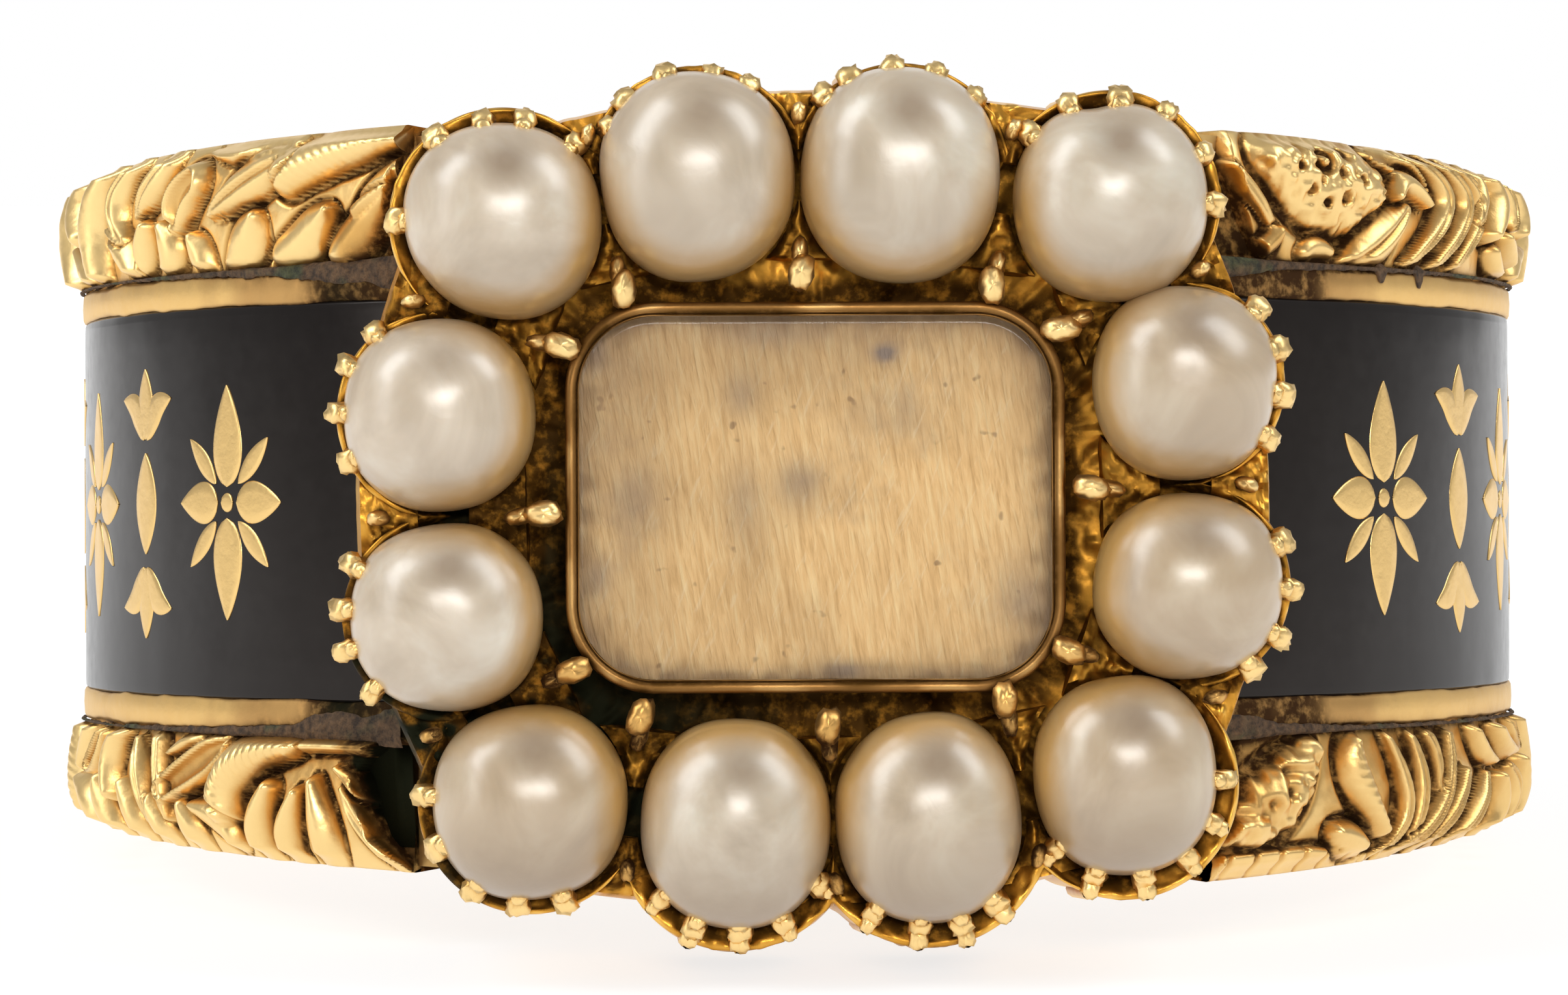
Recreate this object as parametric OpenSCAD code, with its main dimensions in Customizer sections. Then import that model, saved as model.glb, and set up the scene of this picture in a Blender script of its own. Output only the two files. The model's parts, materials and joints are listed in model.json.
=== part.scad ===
// A cluster-head finger ring, lying on its side. The gold hoop carries a black enamelled field with
// reserved gold ornament between two chased borders, and its flat head holds twelve half pearls
// round a small glazed locket. Every piece is drawn in the ring's own frame, with the finger hole
// along Z and the head towards -Y, and lay_on_side() then sets it down where it comes to rest.

/* [Hoop] */
// Diameter of the finger hole
bore_d = 17.5; // [15:0.1:20]
// Thickness of the hoop, from the finger hole to the face of the enamel
hoop_t = 1.2; // [0.9:0.05:1.6]
// Axial width of the enamelled field
field_w = 5; // [4.2:0.1:5.6]
// Depth of the enamel
enamel_t = 0.3; // [0.2:0.02:0.5]
// Width of the plain gold fillet beside the field
fillet_w = 0.41; // [0.25:0.01:0.7]

/* [Borders] */
// Axial width of a chased border at the sides of the hoop
border_w = 1.45; // [1.1:0.05:1.9]
// How much wider a border grows towards the head
border_flare = 0.3; // [0:0.02:0.45]
// How much narrower a border grows towards the back
border_taper = 0.12; // [0:0.02:0.3]
// How far a border's ground stands out from the enamel at its crown
border_crown = 0.1; // [0.06:0.01:0.2]
// How far the ground rolls back at the border's outer edge
border_roll = 0.25; // [0.15:0.01:0.35]
// Height of the chased relief above that ground
relief_h = 0.2; // [0.1:0.01:0.3]
// Angle from the middle of the head to where the borders stop
border_stop = 30.5; // [30:0.5:36]

/* [Ornament] */
// Height of a reserved gold motif, along the finger hole
motif_h = 3; // [2.2:0.1:3.6]
// Width of a motif round the hoop
motif_w = 3.2; // [2.4:0.1:3.6]
// Number of motifs round the hoop
motif_count = 12; // [6:1:12]
// Angle left free between the head and the first motif
motif_room = 4.95; // [4:0.05:10]

/* [Head] */
// Distance between the left and right columns of pearls, centre to centre
cluster_w = 8.8; // [8.6:0.05:9.4]
// Distance between the top and bottom rows of pearls, centre to centre
cluster_h = 7.65; // [7.5:0.05:8.2]
// Diameter of an average pearl
pearl_d = 2.28; // [2:0.02:2.3]
// Height of a pearl's dome above its girdle
pearl_rise = 1.02; // [0.8:0.02:1.2]
// Depth of a pearl below its girdle, to its sawn flat
pearl_base = 0.15; // [0.1:0.01:0.25]
// Height of the pearls' girdle above the enamel
head_rise = 1.6; // [1.4:0.05:2.2]
// Thickness of the setting's wall at its top edge
wall_t = 0.09; // [0.06:0.01:0.16]
// Slope of the setting's wall, outwards towards the hoop
wall_slope = 0.12; // [0.05:0.01:0.2]

/* [Claws] */
// Diameter of a claw
claw_d = 0.24; // [0.18:0.01:0.3]
// Height of a claw's tip above the pearls' girdle
claw_rise = 0.3; // [0.2:0.02:0.5]
// Angle between neighbouring claws round a pearl
claw_step = 26; // [22:1:30]

// Diameter of a grain between two pearls and the locket
grain_d = 0.36; // [0.26:0.02:0.44]
// Height of a grain's top above the pearls' girdle
grain_rise = 0.5; // [0.3:0.05:0.7]
// Distance of a grain from the line between its two pearls, towards the locket
grain_in = 1.15; // [1.05:0.01:1.2]

/* [Locket] */
// Outer width of the locket's rim
locket_w = 5.92; // [5:0.05:6]
// Outer height of the locket's rim
locket_h = 4.64; // [4:0.05:4.7]
// Corner radius of the locket's rim
locket_r = 1.05; // [0.6:0.05:1.4]
// Thickness of the rim
rim_t = 0.14; // [0.1:0.01:0.2]
// Height of the rim's top above the pearls' girdle
rim_rise = 0.25; // [0.1:0.01:0.4]
// Thickness of the glass
glass_t = 0.5; // [0.35:0.05:0.7]
// Height of the glass above the rim's top
glass_rise = 0.08; // [0:0.01:0.15]
// Width of the bevel round the glass
glass_bevel = 0.12; // [0.06:0.01:0.2]
// Thickness of the hair panel under the glass
panel_t = 0.3; // [0.2:0.05:0.4]

/* [Clearances] */
// Gap between pieces that are set in one another
fit_gap = 0.02; // [0.01:0.01:0.04]

/* [Hidden] */
$fn = 72;

bore_r = bore_d / 2;
face_r = bore_r + hoop_t;
motif_first = asin((cluster_w + pearl_d) / 2 / face_r) + motif_w / 2 / face_r * 180 / PI + motif_room;
floor_r = face_r - enamel_t;
foot_z = field_w / 2 + fillet_w;
girdle = face_r + head_rise;
// Stock left inside the bore's line until the bore is cut
bore_stock = 0.4;
// Depth of the head's back inside the hoop's face
head_root = hoop_t / 2;
// Distance from the ring's axis at which the cups' walls start, hidden in the hoop
cup_foot = face_r * 0.74;
// Depth of the floor between the pearls and the locket, below the girdle
valley = 0.5;
rim_top = girdle + rim_rise;
glass_floor = rim_top + glass_rise - glass_t;
panel_floor = glass_floor - fit_gap - panel_t;
recess_w = locket_w - 2 * rim_t;
recess_h = locket_h - 2 * rim_t;
recess_r = locket_r - rim_t;

// The pearls, clockwise from the top left as the head is looked at. Their places are shares of half
// the cluster's width and height, and their sizes are shares of the average pearl's diameter.
// Columns: across, up, width, height, claws.
PEARLS = [
    [-0.834, 0.855, 1.02, 1.02, 5],
    [-0.314, 0.991, 1.00, 1.10, 5],
    [0.232, 0.996, 1.03, 1.12, 5],
    [0.793, 0.910, 1.02, 1.03, 6],
    [0.989, 0.348, 0.96, 1.00, 4],
    [1.000, -0.277, 0.99, 0.97, 4],
    [0.827, -0.855, 0.95, 1.04, 6],
    [0.300, -0.988, 0.96, 1.09, 4],
    [-0.218, -1.004, 0.98, 1.10, 5],
    [-0.766, -0.933, 1.02, 1.01, 5],
    [-0.989, -0.366, 1.00, 0.97, 4],
    [-1.002, 0.259, 0.98, 1.00, 4],
];
function pearl_x(i) = PEARLS[i % 12][0] * cluster_w / 2;
function pearl_z(i) = PEARLS[i % 12][1] * cluster_h / 2;
function pearl_w(i) = PEARLS[i % 12][2] * pearl_d;
function pearl_h(i) = PEARLS[i % 12][3] * pearl_d;
// The radius that a pearl's socket is cut to
function socket_r(i) = max(pearl_w(i), pearl_h(i)) / 2 + fit_gap;
// The direction in which a pearl faces out of the cluster
function outward(i) = atan2(pearl_x(i + 11) - pearl_x(i + 1), pearl_z(i + 1) - pearl_z(i + 11)) + 180;

// The chased lobes of one arm of a border, from the head to the side of the hoop.
// Columns: degrees from the head's middle, share of the border's width from the fillet,
// half length and half width as shares of the border's width, turn, share of the relief's height.
ARM_UPPER_LEFT = [
    [34, 0.74, 0.75, 0.28, 20, 1.0], [33, 0.36, 0.42, 0.17, 35, 0.7], [39.5, 0.28, 0.25, 0.27, 0, 0.6],
    [46, 0.62, 0.42, 0.20, 50, 0.8], [44, 0.22, 0.28, 0.24, 80, 0.6], [51.5, 0.55, 0.22, 0.22, 0, 1.0],
    [49.5, 0.2, 0.3, 0.24, 80, 0.6], [55.5, 0.68, 0.26, 0.18, -40, 0.8], [55.5, 0.25, 0.34, 0.2, 70, 0.6],
    [61, 0.5, 0.48, 0.16, 85, 0.8], [66, 0.5, 0.48, 0.16, 85, 0.8], [72, 0.5, 0.45, 0.26, 80, 0.9],
];
ARM_LOWER_LEFT = [
    [32.5, 0.24, 0.5, 0.16, -8, 0.9], [38.5, 0.4, 0.62, 0.26, 35, 1.0], [33, 0.72, 0.3, 0.2, 60, 0.7],
    [36.5, 0.75, 0.3, 0.18, 75, 0.7], [43.5, 0.8, 0.3, 0.26, 80, 0.6], [47, 0.42, 0.36, 0.22, 30, 0.9],
    [50, 0.8, 0.3, 0.22, 80, 0.6], [54, 0.4, 0.36, 0.16, 60, 0.9], [56, 0.78, 0.3, 0.2, 80, 0.6],
    [60, 0.5, 0.22, 0.22, 0, 1.0], [66, 0.4, 0.4, 0.16, 70, 0.8], [72, 0.5, 0.45, 0.24, 80, 0.9],
];
ARM_UPPER_RIGHT = [
    [39.5, 0.62, 0.52, 0.4, 0, 1.0], [33.5, 0.3, 0.3, 0.2, -60, 0.6], [37.5, 0.1, 0.2, 0.12, 0, 0.6],
    [46, 0.3, 0.3, 0.26, 30, 0.9], [47.5, 0.62, 0.26, 0.18, 40, 0.8], [51, 0.5, 0.5, 0.12, -60, 0.8],
    [54.5, 0.5, 0.5, 0.12, -65, 0.9], [59, 0.5, 0.5, 0.12, -70, 0.8], [63, 0.42, 0.3, 0.2, 60, 0.9],
    [67, 0.65, 0.26, 0.22, 0, 0.9], [71, 0.35, 0.3, 0.24, 60, 0.9], [75, 0.65, 0.3, 0.22, 0, 0.8],
];
ARM_LOWER_RIGHT = [
    [35.5, 0.42, 0.42, 0.34, 0, 1.0], [35, 0.86, 0.5, 0.12, 0, 0.5], [42.5, 0.3, 0.42, 0.16, 70, 0.8],
    [43.5, 0.74, 0.26, 0.2, 0, 0.8], [47.5, 0.5, 0.5, 0.13, 65, 0.9], [51, 0.5, 0.52, 0.12, 60, 0.8],
    [55, 0.5, 0.5, 0.12, 60, 0.9], [59.5, 0.45, 0.4, 0.13, 55, 0.8], [63, 0.6, 0.32, 0.18, 50, 0.8],
    [67.5, 0.4, 0.3, 0.2, 60, 0.9], [71.5, 0.62, 0.3, 0.2, 20, 0.9], [75.5, 0.4, 0.3, 0.22, 60, 0.8],
];
// The lobes that repeat round the back, with degrees counted from the start of each repeat
BACK_REPEAT = [
    [3, 0.66, 0.55, 0.24, 20, 1.0], [4, 0.24, 0.3, 0.22, 70, 0.6], [10, 0.6, 0.36, 0.2, 50, 0.8],
    [9.5, 0.2, 0.28, 0.22, 80, 0.6], [15, 0.5, 0.24, 0.24, 0, 1.0], [19.5, 0.68, 0.3, 0.18, -45, 0.8],
    [20, 0.24, 0.32, 0.2, 75, 0.6], [24.5, 0.5, 0.48, 0.15, 80, 0.8],
];
back_start = 79;
back_repeats = 7;
back_step = (360 - 2 * back_start) / back_repeats;
// Sections along a border, and points across its chased face
border_sections = 210;
border_points = 7;

// Rest: the ring leans back on the lowest rib of its head and the lower edge of its back.
root_r = face_r - head_root;
function rib_foot_y(i) = sqrt(root_r * root_r - pearl_x(i) * pearl_x(i));
function rib_foot_z(i) =
    socket_r(i) - pearl_z(i) + wall_t + wall_slope * (girdle - rib_foot_y(i)) + claw_d / 2;
function lean_on(i) = atan((rib_foot_z(i) - back_edge) / (rib_foot_y(i) + edge_r));
back_edge = foot_z + border_w - border_taper;
edge_r = face_r + border_crown - border_roll;
lean = max([for (i = [6:9]) lean_on(i)]);
rest_height = edge_r * sin(lean) + back_edge * cos(lean);
head_front = girdle + pearl_rise;
rest_shift = ((head_front - edge_r) * cos(lean) + (cluster_h / 2 - back_edge) * sin(lean)) / 2;

module lay_on_side() {
    translate([0, rest_shift, rest_height]) rotate([-lean, 0, 0]) children();
}

// Turns a solid drawn along +Z so that it stands out of the head, with its up side along +Z.
module face_out() {
    rotate([90, 0, 0]) children();
}

module rounded_plate(w, h, r) {
    square([w - 2 * r, h], center = true);
    square([w, h - 2 * r], center = true);
    for (x = [-1, 1], y = [-1, 1]) translate([x * (w / 2 - r), y * (h / 2 - r)]) circle(r);
}

// A half pearl at its place on the head, grown by a gap and rounded to a sphere for its socket.
module pearl_form(i, w, h, rise, base) {
    translate([pearl_x(i), 0, pearl_z(i)]) face_out() translate([0, 0, girdle]) intersection() {
        scale([w / 2, h / 2, rise]) sphere(1);
        translate([-w, -h, -base]) cube([2 * w, 2 * h, base + 2 * rise]);
    }
}

module pearl(i) {
    color("ivory") lay_on_side() pearl_form(i, pearl_w(i), pearl_h(i), pearl_rise, pearl_base);
}

module socket(i) {
    r = socket_r(i);
    translate([pearl_x(i), 0, pearl_z(i)]) face_out() translate([0, 0, girdle]) intersection() {
        sphere(r);
        translate([-r, -r, -pearl_base - fit_gap]) cube([2 * r, 2 * r, pearl_base + 2 * r]);
    }
}

// Lobes

// How far one lobe lifts the ground at a place on the border, from 0 to 1 of the relief's height
function lobe(row, along, across, width) =
    let (u = along - row[0] * PI / 180 * face_r,
         v = (across - row[1]) * width,
         a = (u * cos(row[4]) - v * sin(row[4])) / (row[2] * border_w),
         b = (u * sin(row[4]) + v * cos(row[4])) / (row[3] * border_w),
         d = a * a + b * b)
    d < 1 ? row[5] * sqrt(1 - d) : 0;
function lobes(rows, degrees, across, width) =
    max([for (row = rows) lobe(row, degrees * PI / 180 * face_r, across, width)]);
function back_lobes(degrees, across, width) =
    lobes(BACK_REPEAT, (degrees - back_start) % back_step, across, width);
// Degrees run from the middle of the head round the left side, and upper is 1 or -1.
function relief(degrees, across, width, upper) =
    degrees < back_start ? lobes(upper > 0 ? ARM_UPPER_LEFT : ARM_LOWER_LEFT, degrees, across, width)
    : degrees > 360 - back_start
        ? lobes(upper > 0 ? ARM_UPPER_RIGHT : ARM_LOWER_RIGHT, 360 - degrees, across, width)
        : back_lobes(degrees, across, width);
function border_width(degrees) =
    border_w + (cos(degrees) > 0 ? border_flare * pow(cos(degrees), 2) : -border_taper * pow(cos(degrees), 2));

// One section of a border: its chased face from the fillet to the edge, then its two inner corners
function border_section(degrees, upper) =
    let (width = border_width(degrees), inner = bore_r - 2 * bore_stock)
    concat(
        [for (k = [0:border_points - 1])
            let (across = k / (border_points - 1),
                 ground = face_r + border_crown * (0.5 + sin(across * 150)) - border_roll * pow(across, 6),
                 lift = relief_h * relief(degrees, across, width, upper) * (k == 0 ? 0 : 1))
            [ground + lift, upper * (foot_z + width * across)]],
        [[inner, upper * (foot_z + width)], [inner, upper * foot_z]]);

module border(upper) {
    n = border_points + 2;
    step = (360 - 2 * border_stop) / border_sections;
    points = [for (j = [0:border_sections])
        let (degrees = border_stop + j * step)
        for (p = border_section(degrees, upper)) [-p[0] * sin(degrees), -p[0] * cos(degrees), p[1]]];
    sides = [for (j = [0:border_sections - 1], k = [0:n - 1])
        let (a = j * n + k, b = j * n + (k + 1) % n, c = a + n, d = b + n)
        for (f = [[a, c, b], [b, c, d]]) f];
    ends = concat(
        [for (k = [1:n - 2]) [0, k, k + 1]],
        [for (k = [1:n - 2]) let (o = border_sections * n) [o, o + k + 1, o + k]]);
    faces = concat(sides, ends);
    polyhedron(points, upper > 0 ? faces : [for (f = faces) [f[0], f[2], f[1]]]);
}

// The plain hoop with the sunk field for the enamel; the borders are laid over its two edges.
module hoop() {
    lap = border_w / 3;
    rotate_extrude() difference() {
        translate([bore_r - bore_stock, -foot_z - lap]) square([hoop_t + bore_stock, 2 * (foot_z + lap)]);
        translate([floor_r, -field_w / 2]) square([2 * enamel_t, field_w]);
    }
    border(1);
    border(-1);
}

// The stretch of hoop under the head, where it has its full width and no borders
module saddle() {
    reach = 2 * face_r;
    turn = border_stop + 1;
    half = foot_z + border_width(border_stop) - wall_t;
    intersection() {
        rotate_extrude() translate([bore_r - bore_stock, -half]) square([hoop_t + bore_stock, 2 * half]);
        linear_extrude(3 * half, center = true)
            polygon([[0, 0], [-reach * sin(turn), -reach * cos(turn)], [reach * sin(turn), -reach * cos(turn)]]);
    }
}

// Ornament

module lozenge(x, y, turn, length, width, grow) {
    translate([x, y]) rotate(turn) polygon([
        [length / 2 + 2 * grow, 0], [0, width / 2 + grow], [-length / 2 - 2 * grow, 0], [0, -width / 2 - grow],
    ]);
}

// One motif: a quatrefoil with a pointed finial above and below, between two pairs of leaves
module motif(grow) {
    square(0.2 * motif_h, center = true);
    for (turn = [0:90:270]) rotate(turn) translate([0.13 * motif_h, 0]) circle(0.11 * motif_h + grow);
    for (up = [-1, 1]) {
        lozenge(0, up * 0.38 * motif_h, 90, 0.2 * motif_h, 0.2 * motif_h, grow);
        for (side = [-1, 1])
            lozenge(side * 0.32 * motif_w, up * 0.27 * motif_h, side * up * 55, 0.46 * motif_h, 0.2 * motif_h, grow);
    }
}

// All the motifs, as blocks that stand on the floor of the field and end flush with the enamel
module ornament(grow) {
    step = (360 - 2 * motif_first) / (motif_count - 1);
    intersection() {
        difference() {
            cylinder(h = field_w, r = face_r, center = true);
            cylinder(h = 2 * field_w, r = floor_r - enamel_t / 2, center = true);
        }
        for (k = [0:motif_count - 1]) rotate(-motif_first - k * step) face_out()
            translate([0, 0, floor_r - enamel_t]) linear_extrude(3 * enamel_t) motif(grow);
    }
}

// Head

// One pearl's cup, from the pearls' girdle down past the hoop's face
module cup(i, grow) {
    deep = girdle - cup_foot;
    r = socket_r(i) + wall_t + grow;
    translate([pearl_x(i), pearl_z(i), cup_foot]) cylinder(h = deep, r1 = r + wall_slope * deep, r2 = r);
}

// The setting as a block, before the sockets and the locket are sunk in it
module setting_block(grow) {
    face_out() {
        for (i = [0:11]) cup(i, grow);
        translate([0, 0, cup_foot]) linear_extrude(girdle - valley - cup_foot)
            square([cluster_w, cluster_h], center = true);
        translate([0, 0, cup_foot]) linear_extrude(rim_top - cup_foot)
            rounded_plate(locket_w, locket_h, locket_r);
    }
}

// One claw: a rib that climbs the wall of pearl i in a direction, and its rounded tip
module claw(i, direction) {
    translate([pearl_x(i), pearl_z(i), girdle]) rotate(direction) translate([socket_r(i) + wall_t, 0, 0])
        rotate([0, -atan(wall_slope), 0]) {
            translate([0, 0, cup_foot - girdle])
                cylinder(h = girdle - cup_foot + claw_rise - claw_d / 2, d = claw_d);
            translate([0, 0, claw_rise - claw_d / 2]) sphere(d = claw_d);
        }
}

module claws() {
    for (i = [0:11], k = [0:PEARLS[i][4] - 1])
        claw(i, outward(i) + (k - (PEARLS[i][4] - 1) / 2) * claw_step);
}

// A grain stands between each pearl, the next one round and the locket.
module grains() {
    for (i = [0:11]) {
        along = [pearl_x(i + 1) - pearl_x(i), pearl_z(i + 1) - pearl_z(i)];
        inward = [along[1], -along[0]] / norm(along);
        middle = [pearl_x(i + 1) + pearl_x(i), pearl_z(i + 1) + pearl_z(i)] / 2;
        translate([each (middle + inward * grain_in), girdle - 2 * valley]) {
            cylinder(h = 2 * valley + grain_rise - grain_d / 2, d = grain_d);
            translate([0, 0, 2 * valley + grain_rise - grain_d / 2]) sphere(d = grain_d);
        }
    }
}

module gold_ring() {
    color("goldenrod") lay_on_side() difference() {
        union() {
            hoop();
            saddle();
            ornament(0);
            difference() {
                union() {
                    setting_block(0);
                    face_out() {
                        claws();
                        grains();
                    }
                }
                cylinder(h = 4 * cluster_h, r = root_r, center = true);
            }
        }
        for (i = [0:11]) socket(i);
        face_out() translate([0, 0, panel_floor - fit_gap]) linear_extrude(2 * rim_top - 2 * panel_floor)
            rounded_plate(recess_w, recess_h, recess_r);
        cylinder(h = 4 * cluster_h, r = bore_r, center = true);
    }
}

module enamel() {
    color([0.04, 0.04, 0.05]) lay_on_side() difference() {
        rotate_extrude() translate([floor_r + fit_gap, fit_gap - field_w / 2])
            square([enamel_t - fit_gap, field_w - 2 * fit_gap]);
        setting_block(claw_d / 2 + fit_gap);
        ornament(fit_gap);
    }
}

module hair_panel() {
    color("burlywood") lay_on_side() face_out() translate([0, 0, panel_floor]) linear_extrude(panel_t)
        rounded_plate(recess_w - 2 * fit_gap, recess_h - 2 * fit_gap, recess_r - fit_gap);
}

// The glass stands a little above its rim, with a bevel all round its upper face.
module glass() {
    w = recess_w - 2 * fit_gap;
    h = recess_h - 2 * fit_gap;
    r = recess_r - fit_gap;
    flat_w = w - 2 * glass_bevel;
    flat_h = h - 2 * glass_bevel;
    color([0.9, 0.92, 0.92, 0.5]) lay_on_side() face_out() translate([0, 0, glass_floor]) hull() {
        linear_extrude(glass_t - glass_bevel) rounded_plate(w, h, r);
        linear_extrude(glass_t) rounded_plate(flat_w, flat_h, r - glass_bevel);
    }
}

gold_ring();
enamel();
hair_panel();
glass();
for (i = [1:12]) pearl(i - 1);
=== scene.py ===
"""The looks of a mourning ring: a black enamelled hoop between chased borders, and a head of half pearls."""

import json
import math

import bpy
import numpy as np
from mathutils import Matrix, Vector


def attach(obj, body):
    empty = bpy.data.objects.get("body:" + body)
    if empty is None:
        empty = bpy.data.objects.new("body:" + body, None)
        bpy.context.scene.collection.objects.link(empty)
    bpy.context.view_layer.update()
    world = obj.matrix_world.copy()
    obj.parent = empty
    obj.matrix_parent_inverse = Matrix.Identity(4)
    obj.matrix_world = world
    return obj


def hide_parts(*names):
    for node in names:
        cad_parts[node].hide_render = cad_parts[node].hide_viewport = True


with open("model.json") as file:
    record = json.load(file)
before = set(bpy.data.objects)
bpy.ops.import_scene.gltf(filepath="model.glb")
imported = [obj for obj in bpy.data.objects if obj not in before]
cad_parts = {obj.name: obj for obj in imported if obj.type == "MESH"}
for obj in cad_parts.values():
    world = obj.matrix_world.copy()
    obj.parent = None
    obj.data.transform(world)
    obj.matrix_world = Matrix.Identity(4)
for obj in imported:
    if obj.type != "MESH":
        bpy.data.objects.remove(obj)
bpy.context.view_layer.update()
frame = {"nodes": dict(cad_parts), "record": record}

# The ring's own frame, in millimetres: the finger hole along Z and the head towards -Y
MM = 0.001
finger_hole = next(m for m in frame["record"]["mounts"] if m["name"] == "finger_hole")
lean = math.atan2(finger_hole["axis"][1], finger_hole["axis"][2])
RING = (
    Matrix.Translation(finger_hole["pos_m"])
    @ Matrix.Rotation(-lean, 4, "X")
    @ Matrix.Diagonal((MM, MM, MM, 1))
)


def ring_points(node):
    """A node's vertices in the ring's own frame."""
    mesh = frame["nodes"][node].data
    co = np.empty(3 * len(mesh.vertices))
    mesh.vertices.foreach_get("co", co)
    back = np.array(RING.inverted())
    return co.reshape(-1, 3) @ back[:3, :3].T + back[:3, 3]


# Hoop
BORE_R = finger_hole["dims"]["r_mm"]
enamel_points = ring_points("enamel")
FACE_R = np.hypot(enamel_points[:, 0], enamel_points[:, 1]).max()
FIELD = enamel_points[:, 2].max() + 0.02
FILLET_W = 0.41
FOOT = FIELD + FILLET_W
BORDER_W = 1.4
BORDER_FLARE = 0.36
BORDER_STOP = 30.5
BACK_TAPER = 0.07
# Millimetres of the hoop's face to a degree
ARC = math.pi / 180 * FACE_R

# Head
PEARL_BASE = 0.15
PEARL_COUNT = 12
WALL_SLOPE = 0.045
ROOT_R = FACE_R - 0.6
VALLEY = 0.5
RIM_RISE = 0.25
RIM_T = 0.14
CLUSTER_R = 5.2


class Pearl:
    """A pearl's place on the head, seen from the front: across, up, and its half width and half height."""

    def __init__(self, number):
        points = ring_points(f"pearl_{number}")
        low, high = points.min(0), points.max(0)
        self.name = f"pearl_{number}"
        self.x, self.z = (low[0] + high[0]) / 2, (low[2] + high[2]) / 2
        self.half_w, self.half_h = (high[0] - low[0]) / 2, (high[2] - low[2]) / 2
        self.top = -low[1]
        self.seat = -high[1]
        self.socket = max(self.half_w, self.half_h) + 0.02


pearls = [Pearl(n + 1) for n in range(PEARL_COUNT)]
GIRDLE = pearls[0].seat + PEARL_BASE
RIM_TOP = GIRDLE + RIM_RISE
glass_points = ring_points("glass")
GLASS_HALF_W = (glass_points[:, 0].max() - glass_points[:, 0].min()) / 2
GLASS_HALF_H = (glass_points[:, 2].max() - glass_points[:, 2].min()) / 2
GLASS_TOP = -glass_points[:, 1].min()
GLASS_FLOOR = -glass_points[:, 1].max()
LOCKET_R = 1.05


# Meshes


def add_piece(name, points, faces, material, sharp=None):
    """A mesh from points in the ring's own frame, riding on the ring."""
    world = np.asarray(points, float).reshape(-1, 3)
    matrix = np.array(RING)
    world = world @ matrix[:3, :3].T + matrix[:3, 3]
    mesh = bpy.data.meshes.new(name)
    mesh.from_pydata(world.tolist(), [], [list(map(int, f)) for f in faces])
    mesh.update()
    mesh.polygons.foreach_set("use_smooth", [True] * len(mesh.polygons))
    if sharp is not None:
        mesh.set_sharp_from_angle(angle=math.radians(sharp))
    piece = bpy.data.objects.new(name, mesh)
    bpy.context.scene.collection.objects.link(piece)
    mesh.materials.append(material)
    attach(piece, "root")
    return piece


def grid_faces(rows, columns, close_rows=False, close_columns=False, flip=False):
    i = np.arange(rows if close_rows else rows - 1)[:, None]
    j = np.arange(columns if close_columns else columns - 1)
    a = i * columns + j
    b = i * columns + (j + 1) % columns
    c = ((i + 1) % rows) * columns + (j + 1) % columns
    d = ((i + 1) % rows) * columns + j
    order = [d, c, b, a] if flip else [a, b, c, d]
    return np.stack(np.broadcast_arrays(*order), -1).reshape(-1, 4)


def row_face(row, columns):
    """One row of a grid's corners as a face."""
    return list(range(row * columns, (row + 1) * columns))


def add_parts(name, parts, material, sharp=None):
    """Several (points, faces) as one piece with its material, and all of its points."""
    points, faces, base = [], [], 0
    for part_points, part_faces in parts:
        part_points = np.asarray(part_points, float).reshape(-1, 3)
        points.append(part_points)
        faces += [[int(v) + base for v in f] for f in part_faces]
        base += len(part_points)
    points = np.vstack(points)
    return add_piece(name, points, faces, material, sharp=sharp), points


def both_sides(half):
    """A section from one side to the other, from its half: the middle comes first."""
    half = np.array(half)
    return np.vstack([half[:0:-1] * (-1, 1), half])


def noise(x, y, seed, period_x=None):
    """Smooth noise from -1 to 1 at places x, y, with one lattice cell to a unit."""
    table = np.random.default_rng(seed).uniform(-1, 1, (256, 256))
    xi, yi = np.floor(x).astype(int), np.floor(y).astype(int)
    fx, fy = x - xi, y - yi
    fx, fy = fx * fx * (3 - 2 * fx), fy * fy * (3 - 2 * fy)

    def at(i, j):
        if period_x:
            i = i % period_x
        return table[i % 256, j % 256]

    low = at(xi, yi) * (1 - fx) + at(xi + 1, yi) * fx
    high = at(xi, yi + 1) * (1 - fx) + at(xi + 1, yi + 1) * fx
    return low * (1 - fy) + high * fy


def circle(count):
    """Angles at even steps once round."""
    return np.linspace(0, 2 * math.pi, count, endpoint=False)


def bell(distance, width, power=2):
    """1 at no distance, and falling off past a width."""
    return np.exp(-((distance / width) ** power))


def unit(values):
    """The values, held between 0 and 1."""
    return np.clip(values, 0, 1)


def on_ring(degrees, radius, z):
    """Points round the ring: degrees run from the middle of the head round the left side."""
    a = np.radians(degrees)
    return np.stack(np.broadcast_arrays(-radius * np.sin(a), -radius * np.cos(a), z), -1)


def on_head(x, up, height):
    """Points over the head: across, up, and the distance in front of the ring's axis."""
    return np.stack(np.broadcast_arrays(x, -np.asarray(height, float), up), -1)


# Materials


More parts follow.
